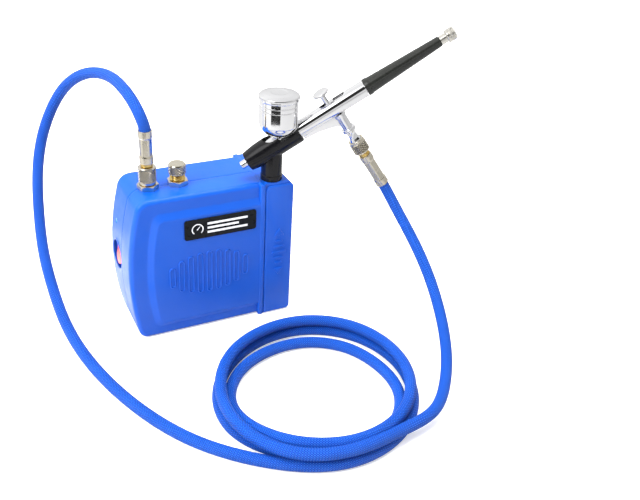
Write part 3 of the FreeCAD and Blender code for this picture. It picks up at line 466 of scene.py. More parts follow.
def hexed(across_flats, low, high, turn=0.0, cone=None):
    """Six flats between two heights, with softened corners and an optional turned-off top."""
    def relief(angle, height, radius):
        if not low <= height <= high:
            return radius
        total = 0.0
        for i in range(6):
            total += max(0.0, math.cos(angle - math.radians(60 * i + turn))) ** 40
        flat = across_flats / 2 / total ** (1 / 40)
        if cone is not None:
            flat = min(flat, across_flats / 2 - 0.1 + (cone - height) * 1.75)
        return min(radius, flat)
    return relief


# ---- CAD pieces shown as they are, with soft edges and a finish ----------------------------------
for name, piece in NODES.items():
    piece.data.materials.clear()
    piece.data.materials.append(MATERIALS[SLOTS[name]])
    piece.data.shade_smooth()
    piece.data.set_sharp_from_angle(angle=math.radians(28))
NODES["label_plate"].data.materials.clear()
NODES["label_plate"].data.materials.append(MATERIALS["label_black"])


# ---- housing ------------------------------------------------------------------------------------
LEFT = -54.8
BULGE_R = 187.0
BULGE_Z = 46.0
BODY_HALF = 22.8
RIDGE_X0, RIDGE_X1 = 31.6, 35.3
COLUMN_HALF = 25.1
COVER_WALL = 1.2
CORE_X1, CORE_HALF = 53.4, 23.7
SEAM_FRONT, SEAM_REAR = -4.1, -3.9
PANEL_Y = -24.9
DISH = Vector((LEFT, 7.3, 50.0))
DISH_R = 9.5
DISH_FLOOR = -52.2


def side_outline(inset, low, high, high_r, low_r, right):
    """Housing outline in XZ: along the bottom, up the bulged left end and back along the top."""
    middle = LEFT + BULGE_R
    radius = BULGE_R - inset

    def corner(level, r, sign):
        cz = level - sign * r
        cx = middle - math.sqrt((radius - r) ** 2 - (cz - BULGE_Z) ** 2)
        tangent = math.atan2(cz - BULGE_Z, cx - middle)
        return cx, cz, tangent

    def arc(cx, cz, r, start, stop, steps):
        turns = [start + (stop - start) * i / steps for i in range(steps + 1)]
        return [(cx + r * math.cos(a), cz + r * math.sin(a)) for a in turns]

    lx, lz, low_turn = corner(low, low_r, -1)
    hx, hz, high_turn = corner(high, high_r, 1)
    points = [(right + (lx - right) * i / 10, low) for i in range(10)]
    full = 2 * math.pi
    points += arc(lx, lz, low_r, -math.pi / 2, low_turn, 12)
    points += arc(middle, BULGE_Z, radius, low_turn % full, high_turn % full, 32)[1:-1]
    points += arc(hx, hz, high_r, high_turn % full, math.pi / 2, 12)
    points += [(hx + (right - hx) * i / 10, high) for i in range(1, 11)]
    return points


def skin(shape, loops):
    """Closed solid through a stack of outlines, each (y, outline)."""
    width = len(loops[0][1])
    points, faces = [], [tuple(range(width))]
    for y, outline in loops:
        points += [Vector((x, y, z)) * MM for x, z in outline]
    for row in range(len(loops) - 1):
        for i in range(width):
            a, b = row * width + i, row * width + (i + 1) % width
            faces.append((a, b, b + width, a + width))
    last = (len(loops) - 1) * width
    faces.append(tuple(range(last, last + width)))
    shape.add(points, faces)


def shell_loops(side, seam):
    """Outlines from the seam out over the rounded rim; side is -1 at the front and 1 at the back."""
    rim = 3.2
    right = RIDGE_X0 + 1
    inside = side_outline(2.0, 2.0, 98.0, 7.0, 3.5, right - 2)
    loops = [(side * (BODY_HALF - 2), inside), (seam, inside),
             (seam, side_outline(0.25, 0.25, 99.75, 8.9, 5.4, right))]
    loops += [(seam + side * 0.08, side_outline(0.07, 0.07, 99.93, 9, 5.5, right)),
              (seam + side * 0.3, side_outline(0, 0, 100, 9, 5.5, right))]
    steps = 14
    for i in range(1, steps):
        y = seam + side * 0.3 + (side * (BODY_HALF - rim) - seam - side * 0.3) * i / steps
        loops.append((y, side_outline(0, 0, 100, 9, 5.5, right)))
    for a in angles(0, 90, 10):
        step = rim * (1 - math.cos(a))
        loops.append((side * (BODY_HALF - rim + rim * math.sin(a)),
                      side_outline(step, step, 100 - step, 9 - step * 0.6, 5.5 - step * 0.6, right)))
    return loops


def front_shell():
    right = RIDGE_X0 + 1
    shape = Shape()
    loops = shell_loops(-1, SEAM_FRONT)
    slope = rounded([(-5.0, -BODY_HALF), (0.0, -BODY_HALF), (4.0, PANEL_Y), (9.0, PANEL_Y)], 0.9, 6)[1:]
    for t, y in slope:
        f = t / 4.0
        r = max(6.0 - f, 1.5)
        loops.append((y, side_outline(11.0 + t, 7.3 + 3.7 * f, 90.6 - 4.6 * f, r, r, right)))
    skin(shape, loops)
    column(shape, -1, SEAM_FRONT)
    shape.stand_in("front_shell", "blue_housing", "compressor", 40)


def rectangle(x0, x1, y0, y1, z):
    return [Vector((x, y, z)) * MM for x, y in ((x0, y0), (x1, y0), (x1, y1), (x0, y1))]


def plate_outline(x0, x1, z0, z1, radii):
    """Upright rectangle at y = 0 with rounded corners: upper left, upper right, lower right, lower left."""
    outline = []
    corners = ((x0, z1, 1, -1, 180), (x1, z1, -1, -1, 90), (x1, z0, -1, 1, 0), (x0, z0, 1, 1, -90))
    for (x, z, inward, upward, start), r in zip(corners, radii):
        if r == 0:
            outline.append(Vector((x, 0, z)) * MM)
            continue
        for a in angles(start, -90, 8):
            cx, cz = x + inward * r, z + upward * r
            outline.append(Vector((cx + r * math.cos(a), 0, cz + r * math.sin(a))) * MM)
    return outline


def column(shape, side, seam):
    """Raised ridge and the column that carries the airbrush holder, on one side of the seam."""
    def at_seam(point):
        return abs(point.y - seam * MM) < 1e-6
    y0, y1 = sorted((seam, side * COLUMN_HALF))
    shape.block(rectangle(RIDGE_X0, RIDGE_X1, y0, y1, 0), UP * 100 * MM, 1.0, at_seam)
    outline = plate_outline(RIDGE_X1 - 2.5, CORE_X1, 0, 99.85, (0.0, 3.0, 0.0, 0.0))
    start = Vector((0, seam, 0)) * MM
    depth = Vector((0, side * CORE_HALF - seam, 0)) * MM
    shape.block([start + p for p in outline], depth, 1.0, at_seam)


def drilled(radius, lip, depth, origin, axis):
    """Cutter for a hole with a softened lip, from above the surface down to the depth."""
    profile = [(0, -6), (radius + lip, -6), (radius + lip, -0.02), (radius + 0.3 * lip, 0.3 * lip),
               (radius, lip), (radius, depth), (0, depth)]
    return Shape().turned(profile, origin, axis, 96).make("cutter", "blue_housing")


def rear_shell():
    shape = Shape()
    skin(shape, shell_loops(1, SEAM_REAR))
    piece = shape.make("rear_shell", "blue_housing", sharp=40)
    forward = Vector((0, -1, 0))
    inward = Vector((1, 0, 0))
    wall = [(0, 0.2), (DISH_R + 1.2, 0.2), (DISH_R + 1.2, 4.0), (0, 4.0)]
    collar = Shape().turned(wall, DISH * MM, inward, 96)
    collar = collar.make("rear_shell_dish_wall", "blue_housing", "compressor")
    for target in (piece, collar):
        cut_with(target, drilled(DISH_R, 0.8, DISH_FLOOR - LEFT, DISH * MM, inward))
        cut_with(target, drilled(ROCKER_R + 0.7, 0.1, 8.0, DISH * MM, inward))
    for x, z in SCREW_SPOTS:
        cut_with(piece, drilled(2.95, 0.35, 3.0, Vector((x, BODY_HALF, z)) * MM, forward))
    cut_with(piece, drilled(4.0, 0.4, 3.0, Vector((10.0, BODY_HALF, 15.0)) * MM, forward))
    cut_with(piece, drilled(1.6, 0.15, 6.0, Vector((LEFT + 1.9, 11.0, 72.5)) * MM, inward))
    attach(piece, "compressor", "blue_housing", "rear_shell")
    pillar = Shape()
    column(pillar, 1, SEAM_REAR)
    pillar.make("rear_shell_column", "blue_housing", "compressor")


def soften(piece, width, angle=30.0):
    """Rounds the piece's sharp edges by the width in mm."""
    work = bmesh.new()
    work.from_mesh(piece.data)
    bmesh.ops.remove_doubles(work, verts=work.verts, dist=1e-6)
    bmesh.ops.dissolve_limit(work, angle_limit=math.radians(0.5), verts=work.verts, edges=work.edges)
    edges = [e for e in work.edges if len(e.link_faces) == 2 and e.calc_face_angle(0) > math.radians(angle)]
    bmesh.ops.bevel(work, geom=edges, offset=width * MM, segments=4, profile=0.5,
                    affect="EDGES", clamp_overlap=True)
    work.to_mesh(piece.data)
    work.free()
    piece.data.shade_smooth()
    piece.data.set_sharp_from_angle(angle=math.radians(40))


def end_cover():
    """U-shaped cover around the column, with moulded grip marks on its front."""
    x0, x1 = 35.5, -LEFT
    outline = plate_outline(x0, x1, 0.8, 98, (3.5, 2.6, 2.6, 0.0))
    start = Vector((0, -COLUMN_HALF, 0)) * MM
    shape = Shape().block([start + p for p in outline], Vector((0, 2 * COLUMN_HALF, 0)) * MM)
    piece = shape.make("end_cover", "blue_housing")
    soften(piece, 1.0, 50)
    inner = rectangle(x0 - 2, x1 - COVER_WALL, COVER_WALL - COLUMN_HALF, COLUMN_HALF - COVER_WALL, -1)
    cut_with(piece, Shape().block(inner, UP * 110 * MM).make("cutter", "blue_housing"))
    attach(piece, "end_cover", "blue_housing", "end_cover")

    marks = Shape()
    face, middle, r = -COLUMN_HALF - 0.6, 45.3, 0.9
    for tip, base in ((66.5, 61.0), (30.5, 36.0)):
        marks.block([Vector((middle, face, tip)) * MM, Vector((middle - 3.4, face, base)) * MM,
                     Vector((middle + 3.4, face, base)) * MM], Vector((0, 0.9, 0)) * MM, 0.25)
    for z, width in ((56.8, 5.0), (52.6, 7.6), (48.4, 10.0), (44.2, 7.6), (40.0, 5.0)):
        bar = []
        for sign in (1, -1):
            end = middle + sign * (width / 2 - r)
            for a in angles(90 * sign, -180, 8):
                bar.append(Vector((end + r * math.cos(a), face, z + r * math.sin(a))) * MM)
        marks.block(bar, Vector((0, 0.9, 0)) * MM, 0.25)
    marks.make("end_cover_marks", "blue_housing", "end_cover")


def emblem():
    """Row of upright pill outlines on the panel, each a low rounded ridge."""
    shape = Shape()
    half_width, half_height, r = 28.5, 15.4, 1.65
    for i in range(-4, 5):
        x = half_width * i / 4.6
        half = half_height * math.sqrt(1 - (x / half_width) ** 2)
        path = []
        for sign in (1, -1):
            for a in angles(0 if sign > 0 else 180, 180, 12):
                nx, nz = math.cos(a), math.sin(a)
                path.append((r * nx, sign * (half - 2.1) + r * nz, nx, nz))
        points, faces = [], []
        for px, pz, nx, nz in path:
            for k in range(7):
                a = math.pi * k / 6
                out, lift = 0.5 * math.cos(a), 0.6 * math.sin(a)
                points.append(Vector((-3.0 + x + px + nx * out, PANEL_Y + 0.03 - lift,
                                      44.0 + pz + nz * out)) * MM)
        count = len(path)
        for a in range(count):
            b = (a + 1) % count
            for k in range(6):
                faces.append((a * 7 + k, a * 7 + k + 1, b * 7 + k + 1, b * 7 + k))
        shape.add(points, faces)
    shape.make("panel_marks", "blue_housing", "compressor", sharp=60)


def label_plate():
    low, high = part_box("label_plate")
    x0, x1, z0, z1 = (edge / MM for edge in (low.x, high.x, low.z, high.z))
    outline = [p + Vector((0, low.y, 0)) for p in plate_outline(x0, x1, z0, z1, (1.6, 1.6, 1.6, 1.6))]
    Shape().block(outline, Vector((0, high.y - low.y, 0)), 0.2).stand_in(
        "label_plate", "label_black", "compressor")


front_shell()
rear_shell()
end_cover()
emblem()
label_plate()

# ---- outlets on top of the housing --------------------------------------------------------------
def outlet(name, port):
    foot = at_height(port, TOP)
    profile = divided([(2.4, 11.0), (4.4, 11.0), (4.86, 10.5), (4.86, -1.0)], 0.12)
    Shape().turned(profile, foot, UP, 72, threads(0.5, 3.3, 10.4)).stand_in(name, "brass", "compressor", 50)


outlet("outlet_fitting_hose", HOSE_PORT)
outlet("outlet_fitting_spare", SPARE_PORT)

nuts = Shape()
for port, turn in ((HOSE_PORT, 12.0), (SPARE_PORT, -6.0)):
    foot = at_height(port, TOP)
    outline = divided(rounded([(4.9, 0.0), (7.2, 0.0), (7.2, 3.2), (4.9, 3.2)], 0.15), 0.2)
    nuts.turned(outline, foot, UP, 144, hexed(12.0, -0.1, 3.3, turn, 3.2), Vector((1, 0, 0)))
nuts.stand_in("outlet_hex_nuts", "nickel", "compressor", 24)

cap = divided(rounded([(4.95, 4.6), (4.95, 0.0), (5.2, 0.0), (5.6, 0.5), (5.6, 5.7), (4.9, 6.7),
                       (0.0, 6.8)], 0.25), 0.16)
Shape().turned(cap, at_height(SPARE_PORT, 107.2), UP, 216, knurl(18, 0.6, 0.3, 5.6, 1.9)).stand_in(
    "blank_cap", "nickel", "blank_cap", 14)

nut = divided(rounded([(4.95, 8.0), (4.95, 0.0), (5.1, 0.0), (5.1, 1.7), (5.6, 2.1), (5.6, 10.8),
                       (5.0, 11.5), (3.3, 11.5), (3.3, 10.0)], 0.2), 0.16)
Shape().turned(nut, at_height(HOSE_PORT, 103.5), UP, 216, knurl(18, 0.6, 2.0, 10.7, 1.9)).stand_in(
    "hose_nut_compressor", "nickel", "compressor_nut", 14)

barb = rounded([(1.5, 1.0), (3.1, 1.0), (3.1, 3.9), (3.7, 4.1), (3.7, 5.9), (1.9, 5.9), (1.9, 17.0)], 0.2)
Shape().turned(barb, at_height(HOSE_PORT, 111.1), UP, 64).stand_in(
    "hose_barb_compressor", "brass", "compressor", 40)


def ferrule(name, origin, axis, length, body, mark):
    """Crimped sleeve: plain rings at both ends and a hexagonal waist."""
    ring = 5.2
    profile = rounded([(1.95, 0.0), (4.0, 0.0), (4.3, 0.4), (4.3, ring - 0.8), (3.95, ring),
                       (3.95, length - ring), (4.3, length - ring + 0.8), (4.3, length), (3.65, length),
                       (3.65, length - 4.0)], 0.3)
    relief = hexed(7.35, ring + 0.3, length - ring - 0.3, mark)
    Shape().turned(divided(profile, 0.35), origin, axis, 144, relief).stand_in(name, "nickel", body, 30)


ferrule("hose_ferrule_compressor", at_height(HOSE_PORT, 117.05), UP, 21.5, "compressor", 10.0)


# ---- hose ---------------------------------------------------------------------------------------
HOSE_R, HOSE_STEP = 3.6, 1.1
COIL_CENTRE = (31.0, -111.0)
# Turns of the floor coil: degrees round, radius, height in hose diameters above the table.
COIL_TURNS = (
    (190, 84, 0), (223, 69, 0), (262, 66, 0), (300, 64, 0), (335, 62, 0), (365, 61, 0), (400, 60, 0),
    (430, 58, 0), (460, 55, 0), (490, 54, 0), (525, 57, 0), (555, 60, 0), (590, 59, 0), (625, 58, 0),
    (660, 57, 0), (695, 53, 0), (725, 48, 0), (755, 46, 0), (790, 44, 0), (825, 43, 0), (860, 46, 0),
    (895, 51, 0.1), (925, 54, 0.6), (960, 57, 1.02), (995, 59, 1.05), (1030, 60, 1.05), (1060, 60, 1.05),
    (1090, 60, 1.05), (1120, 60, 1.05), (1150, 58, 1.05), (1180, 55, 1.05), (1210, 54, 1.05),
    (1240, 55, 1.05),
    (1265, 58, 1.05), (1290, 62, 1.05), (1320, 66, 1.1), (1350, 65, 1.05), (1375, 66, 0.75),
)
ARCH = (
    (-36.6, -3.2, 144.5), (-38.4, 5, 151.5), (-40.5, 21, 156), (-44, 45, 156.3), (-52, 66, 151.5),
    (-62, 80, 141),
    (-72, 87, 124.5), (-81, 84, 107), (-89, 72, 86), (-93.5, 58, 62), (-96, 40, 42), (-96, 18, 27),
    (-94.3, -6, 15.5), (-89.5, -33, 8.2), (-81.5, -61, 4.4), (-71.8, -88, 3.7),
)
RISER = ((88.5, -162, 9.4), (101, -150.5, 14), (112.5, -132, 24), (119.5, -110, 38), (122.5, -87, 53),
         (121.5, -65, 68), (118.5, -48, 81))


def spline(points, spacing):
    """Evenly spaced points on a smooth curve through the given ones (natural cubic, by chord length)."""
    p = np.array(points, float)
    t = np.concatenate([[0.0], np.cumsum(np.linalg.norm(np.diff(p, axis=0), axis=1))])
    n = len(t)
    h = np.diff(t)
    a = np.eye(n)
    rhs = np.zeros((n, 3))
    for i in range(1, n - 1):
        a[i, i - 1], a[i, i], a[i, i + 1] = h[i - 1], 2 * (h[i - 1] + h[i]), h[i]
        rhs[i] = 6 * ((p[i + 1] - p[i]) / h[i] - (p[i] - p[i - 1]) / h[i - 1])
    m = np.linalg.solve(a, rhs)
    fine = np.linspace(0, t[-1], int(t[-1] / 0.25))
    k = np.clip(np.searchsorted(t, fine, side="right") - 1, 0, n - 2)
    left = (t[k + 1] - fine)[:, None]
    right = (fine - t[k])[:, None]
    hk = h[k][:, None]
    curve = ((m[k] * left ** 3 + m[k + 1] * right ** 3) / (6 * hk) + (p[k] / hk - m[k] * hk / 6) * left
             + (p[k + 1] / hk - m[k + 1] * hk / 6) * right)
    run = np.concatenate([[0.0], np.cumsum(np.linalg.norm(np.diff(curve, axis=0), axis=1))])
    want = np.linspace(0, run[-1], int(run[-1] / spacing))
    return np.stack([np.interp(want, run, curve[:, i]) for i in range(3)], axis=1)


def hose_line():
    """Centre line from inside the compressor ferrule to inside the airbrush ferrule, in mm."""
    start = at_height(HOSE_PORT, 138.55) / MM
    points = [start - UP * 9.9, start] + [Vector(p) for p in ARCH]
    for degrees, radius, level in COIL_TURNS:
        a = math.radians(degrees)
        points.append(Vector((COIL_CENTRE[0] + radius * math.cos(a), COIL_CENTRE[1] + radius * math.sin(a),
                              HOSE_R + 0.05 + level * 2 * HOSE_R)))
    points += [Vector(p) for p in RISER]
    points += [brush_point(VALVE_AT, 0, -64.4) / MM, brush_point(VALVE_AT, 0, -51.0) / MM]
    return spline([tuple(p) for p in points], HOSE_STEP)


def hose():
    line = hose_line()
    steps = 32
    tangents = np.gradient(line, axis=0)
    side = Vector((1, 0, 0))
    points, faces, uvs = [], [], []
    for i, (centre, tangent) in enumerate(zip(line, tangents)):
        t = Vector(tangent).normalized()
        side = (side - t * side.dot(t)).normalized()
        other = t.cross(side)
        for j in range(steps):
            a = 2 * math.pi * j / steps
            out = (side * math.cos(a) + other * math.sin(a)) * HOSE_R
            points.append((Vector(centre) + out) * MM)
    per_ring = HOSE_STEP / (2 * math.pi * HOSE_R)
    for i in range(len(line) - 1):
        for j in range(steps):
            k = (j + 1) % steps
            faces.append((i * steps + j, i * steps + k, (i + 1) * steps + k, (i + 1) * steps + j))
            u0, u1, v0, v1 = j / steps, (j + 1) / steps, i * per_ring, (i + 1) * per_ring
            uvs.append([(u0, v0), (u1, v0), (u1, v1), (u0, v1)])
    shape = Shape()
    shape.add(points, faces, uvs)
    piece = shape.make("hose_braided", "braid_blue")
    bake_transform(piece)
    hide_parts("hose", "hose_riser")


hose()


# ---- airbrush -----------------------------------------------------------------------------------
def on_brush(name, profile, look, body, steps=96, relief=None, sharp=40.0, longest=None):
    """Turned piece on the airbrush's axis; the profile is (radius, station)."""
    outline = rounded(profile, 0.2)
    if longest:
        outline = divided(outline, longest)
    Shape().turned(outline, BRUSH, TAIL, steps, relief, CROWN).stand_in(name, look, body, sharp)


def stadium(half, s0, s1, n):
    """Outline of a rounded slot in the airbrush's top, at height n."""
    outline = []
    for centre, start in ((s1, -90), (s0, 90)):
        for a in angles(start, 180, 12):
            outline.append(brush_point(centre + half * math.cos(a), half * math.sin(a), n))
    return outline


def barrel():
    profile = rounded([(0.95, -10.2), (4.4, -10.2), (5.35, -9.0), (5.35, 68.5), (4.2, 68.5), (4.2, 31.0),
                       (0.95, 31.0), (0.95, -10.2)], 0.15)
    piece = Shape().turned(profile, BRUSH, TAIL, 160, None, CROWN).make("airbrush_barrel", "chrome")
    cutter = Shape().block(stadium(1.9, 40.0, 54.0, 2.0), CROWN * 6 * MM).make("cutter", "chrome")
    cut_with(piece, cutter)
    attach(piece, "airbrush", "chrome")


def cup_and_keel():
    """Paint cup, upright over the barrel, with the fin that carries the valve."""
    base = brush_point(CUP_AT)
    arc = []
    for a in angles(74, -74, 24):
        arc.append((12.3 * math.cos(a), 14.6 - 9.7 * math.sin(a)))
    outer = [(3.2, 4.0)] + arc
    for z in (23.6, 26.5):
        outer += [(12.3, z - 0.45), (11.9, z - 0.1), (11.9, z + 0.1), (12.3, z + 0.45)]
    outer += [(12.3, 29.1), (12.1, 29.3), (11.5, 29.3), (11.3, 29.1)]
    inner = []
    for a in angles(0, 84, 24):
        inner.append((11.3 * math.cos(a), 14.8 - 8.6 * math.sin(a)))
    shape = Shape().turned(outer + inner + [(0.9, 4.0)], base, UP, 160)
    fin = []
    for i in range(13):
        s = KEEL_START + (KEEL_END - KEEL_START) * i / 12
        sag = 5.2 * ((s - KEEL_START) / (KEEL_END - KEEL_START)) ** 2
        fin.append(brush_point(s, -1.5, -7.4 - sag))
    fin += [brush_point(KEEL_END, -1.5, -4.6), brush_point(KEEL_START, -1.5, -4.6)]
    shape.block(fin, SIDE * 3 * MM, 0.35)
    shape.turned(rounded([(3.9, -4.6), (3.9, -7.2), (0.0, -7.2)], 0.2), brush_point(VALVE_AT), CROWN, 64)
    shape.stand_in("airbrush_body", "chrome", "airbrush", 32)


def holder():
    """Glossy cradle: tube with a tapered nose, its rear half open on top, on an upright post."""
    bore, front, rear, cradle_top = 5.43, -18.4, 19.7, 2.0
    outer = rounded([(3.0, front), (5.9, front), (6.3, front + 0.5), (6.9, -14.0), (7.35, -10.0),
                     (7.55, -6.0), (7.55, rear - 0.8), (6.95, rear), (bore, rear), (bore, -16.9),
                     (3.0, -16.9)], 0.4, 5)
    tube = Shape().turned(outer + outer[:1], BRUSH, TAIL, 128, None, CROWN)
    tube = tube.make("holder_tube", "black_gloss")
    opening = []
    for a in angles(90, 180, 16):
        opening.append(brush_point(2.6 + bore * math.cos(a), bore * math.sin(a), 0))
    opening += [brush_point(rear + 2, -bore, 0), brush_point(rear + 2, bore, 0)]
    cut_with(tube, Shape().block(opening, CROWN * 14 * MM).make("cutter", "black_gloss"))
    above = [brush_point(6.6, -12, cradle_top), brush_point(rear + 2, -12, cradle_top),
             brush_point(rear + 2, 12, cradle_top), brush_point(6.6, 12, cradle_top)]
    cut_with(tube, Shape().block(above, CROWN * 14 * MM).make("cutter", "black_gloss"))
    soften(tube, 0.3, 45)
    foot = at_height(BRUSH, TOP)
    post_line = rounded([(0, -0.2), (7.05, -0.2), (7.05, 3.2), (6.8, 3.7), (6.8, 19.0), (0, 19.0)], 0.3)
    post = Shape().turned(post_line, foot, UP, 96).make("holder_post", "black_gloss")
    clear = [(0, -30), (bore + 0.6, -30), (bore + 0.6, 30), (0, 30)]
    cut_with(post, Shape().turned(clear, BRUSH, TAIL, 64).make("cutter", "black_gloss"))
    attach(tube, "compressor", "black_gloss", "airbrush_holder")
    attach(post, "compressor", "black_gloss")


holder()
barrel()
cup_and_keel()

lid_edge = 29.35
lid_profile = rounded([(11.1, lid_edge - 2.4), (11.2, lid_edge), (12.6, lid_edge), (12.9, lid_edge + 0.4),
                       (12.9, lid_edge + 2.3), (12.3, lid_edge + 3.0), (9.0, lid_edge + 4.0),
                       (5.6, lid_edge + 4.4), (4.6, lid_edge + 4.1), (0.0, lid_edge + 4.0)], 0.5, 6)
Shape().turned(lid_profile, brush_point(CUP_AT), UP, 160).stand_in("cup_lid", "chrome", "cup_lid", 50)

on_brush("spray_head", [(1.7, -10.4), (1.7, -16.5), (3.4, -16.5), (4.4, -15.6), (4.4, -10.3), (1.7, -10.3)],
         "chrome", "airbrush", relief=knurl(30, 0.22, -14.6, -11.4, 0.9), longest=0.12, steps=240, sharp=14)
on_brush("nozzle_cap", [(1.75, -16.6), (1.75, -22.6), (2.0, -23.2), (2.35, -23.2), (2.65, -22.7),
                        (2.65, -16.6)], "chrome", "airbrush")
on_brush("handle", [(3.6, 68.7), (5.3, 68.7), (5.6, 69.1), (5.6, 71.5), (5.2, 72.0), (3.35, 121.5),
                    (3.0, 122.0), (1.9, 122.0)], "black_anodised", "handle", steps=128)
on_brush("end_knob", [(1.82, 118.0), (1.82, 122.1), (3.0, 122.1), (3.0, 126.4), (3.9, 126.6), (4.2, 127.0),
                      (4.2, 128.1), (3.8, 128.5), (4.2, 128.9), (4.2, 131.9), (3.8, 132.3), (0.0, 132.3)],
         "pale_nickel", "end_knob", relief=knurl(22, 0.3, 129.1, 131.9, 1.0), longest=0.14,
         steps=176, sharp=14)

valve = rounded([(3.35, 7.0), (3.35, 16.3), (4.55, 16.9), (4.55, 18.7), (3.5, 19.6), (2.75, 21.9),
                 (3.1, 24.6), (3.9, 26.6), (3.9, 33.0), (1.2, 33.0)], 0.35)
Shape().turned(valve, brush_point(VALVE_AT), DOWN, 96).stand_in("valve_casing", "chrome", "airbrush", 40)

brush_nut = divided(rounded([(3.95, 34.5), (3.95, 26.7), (5.0, 26.7), (5.0, 28.2), (5.4, 28.7),
                             (5.4, 35.7), (4.7, 36.4), (3.2, 36.4), (3.2, 35.0)], 0.2), 0.15)
Shape().turned(brush_nut, brush_point(VALVE_AT), DOWN, 216, knurl(18, 0.55, 28.6, 35.6, 1.8)).stand_in(
    "hose_nut_airbrush", "nickel", "airbrush_nut", 14)
brush_barb = rounded([(1.5, 33.1), (3.1, 34.9), (3.1, 36.5), (3.7, 36.7), (3.7, 39.3), (1.9, 39.3),
                      (1.9, 48.0)], 0.2)
Shape().turned(brush_barb, brush_point(VALVE_AT), DOWN, 64).stand_in(
    "hose_barb_airbrush", "brass", "airbrush", 40)
ferrule("hose_ferrule_airbrush", brush_point(VALVE_AT, 0, -39.4), DOWN, 25.0, "airbrush", 20.0)


def trigger():
    """Finger button on its stem, with the fork that straddles the needle."""
    foot = brush_point(TRIGGER_AT)
    button = rounded([(1.7, 4.4), (1.7, 10.6), (2.3, 11.3), (4.6, 11.9), (5.5, 12.8), (4.9, 13.7),
                      (3.0, 13.95), (0.0, 13.9)], 0.5, 6)
    shape = Shape().turned(button, foot, CROWN, 96)
    for y, low, thick in ((-1.75, -1.0, 0.8), (0.95, -1.0, 0.8), (-1.75, 4.2, 3.5)):
        outline = [brush_point(41.8, y, low), brush_point(47.9, y, low), brush_point(47.9, y, 5.0),
                   brush_point(41.8, y, 5.0)]
        shape.block(outline, SIDE * thick * MM, 0.2)
    shape.stand_in("trigger", "chrome", "trigger", 40)


trigger()


# ---- label --------------------------------------------------------------------------------------
def label_marks():
    """Plain printed marks: a pressure dial and bars of falling length."""
    low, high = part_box("label_plate")
    face = low.y - 0.00004
    middle = (low.z + high.z) / 2
    white = Shape()
    centre = Vector((low.x + 0.0085, face, middle))
    ring = []
    for radius in (3.9, 3.2):
        for a in angles(-50, 280, 32):
            ring.append(centre + Vector((math.cos(a), 0, math.sin(a))) * radius * MM)
    white.add(ring, [(i, i + 1, 34 + i, 33 + i) for i in range(32)])
    needle = math.radians(48)
    along = Vector((math.cos(needle), 0, math.sin(needle)))
    across = Vector((-along.z, 0, along.x)) * 0.35 * MM
    white.add([centre - along * 0.6 * MM - across, centre + along * 2.8 * MM - across * 0.4,
               centre + along * 2.8 * MM + across * 0.4, centre - along * 0.6 * MM + across], [(0, 1, 2, 3)])
    left = low.x + 0.0150
    for row, length in enumerate((27.0, 21.0, 27.0)):
        z = middle + (1 - row) * 0.0030
        right, low_z, high_z = left + length * MM, z - 0.00075, z + 0.00075
        corners = ((left, low_z), (right, low_z), (right, high_z), (left, high_z))
        white.add([Vector((px, face, pz)) for px, pz in corners], [(0, 1, 2, 3)])
    white.make("label_marks", "label_white", "compressor", smooth=False)


label_marks()


# ---- floor, light and camera --------------------------------------------------------------------
CAMERA_AT = (-0.1583, -0.4655, 0.3408)
LENS = 47.57
HEADING, PITCH, ROLL = (math.radians(a) for a in (28.08, 30.83, 3.74))
AMBIENT, ABOVE, BEHIND, LEFTWARD = 0.08, 0.9, 0.75, 0.85
HORIZON, ZENITH = 0.68, 0.88      # brightness of the room in mirrors
BAND_AT, BAND_CORE, BAND_EDGE = 7.0, 15.0, 23.0
WINDOW = (-0.75, -0.25, 0.62)
# painted reflection: mirrors see the floor bright around a spot beside the left end and darker elsewhere
FLOOR_PAINTED_IN_MIRRORS = 0.85, 0.34       # tone of the floor in mirrors, beside the left end and elsewhere
PAINTED_SPOT_CENTRE = (-0.10, 0.06, 0.0)


def floor():
    shape = Shape()
    half = 3.0
    corners = ((-half, -half), (half, -half), (half, half), (-half, half))
    shape.add([Vector((px, py, 0)) for px, py in corners], [(0, 1, 2, 3)])
    material, graph, surface, place = shader("pale_floor")
    speck = graph.noise(place, 300.0, 2.0)
    tone = graph.mix(graph.spread(speck, 0.0, 1.0), colour(0.80, 0.80, 0.80), colour(0.83, 0.83, 0.83))
    rays = graph.node("ShaderNodeLightPath").outputs
    reach = graph.node("ShaderNodeVectorMath")
    reach.operation = "DISTANCE"
    graph.put(reach.inputs[0], place)
    reach.inputs[1].default_value = PAINTED_SPOT_CENTRE
    # painted reflection: a floor tone that only glossy rays see, brighter near the spot beside the left end
    mirrored = graph.ramp(reach.outputs["Value"], 0.05, 0.10, *FLOOR_PAINTED_IN_MIRRORS)
    graph.put(surface.inputs["Base Color"], graph.mix(rays["Is Glossy Ray"], tone, mirrored))
    graph.put(surface.inputs["Roughness"], 0.9)
    graph.put(surface.inputs["Specular IOR Level"], 0.05)
    graph.put(surface.inputs["Normal"], graph.bump(speck, 0.00001))
    graph.put(surface.inputs["Emission Color"], colour(1.0, 1.0, 1.0))
    graph.put(surface.inputs["Emission Strength"], graph.math("MULTIPLY", rays["Is Camera Ray"], 0.45))
    MATERIALS["floor"] = material
    piece = shape.make("studio_floor", "floor", smooth=False)


def softbox(name, place, aim, width, height, power):
    data = bpy.data.lights.new(name, "AREA")
    data.shape = "RECTANGLE"
    data.size, data.size_y = width, height
    data.energy = power
    lamp = bpy.data.objects.new(name, data)
    lamp.location = Vector(place)
    lamp.rotation_euler = (Vector(aim) - Vector(place)).to_track_quat("-Z", "Y").to_euler()
    lamp.visible_glossy = False
    bpy.context.scene.collection.objects.link(lamp)


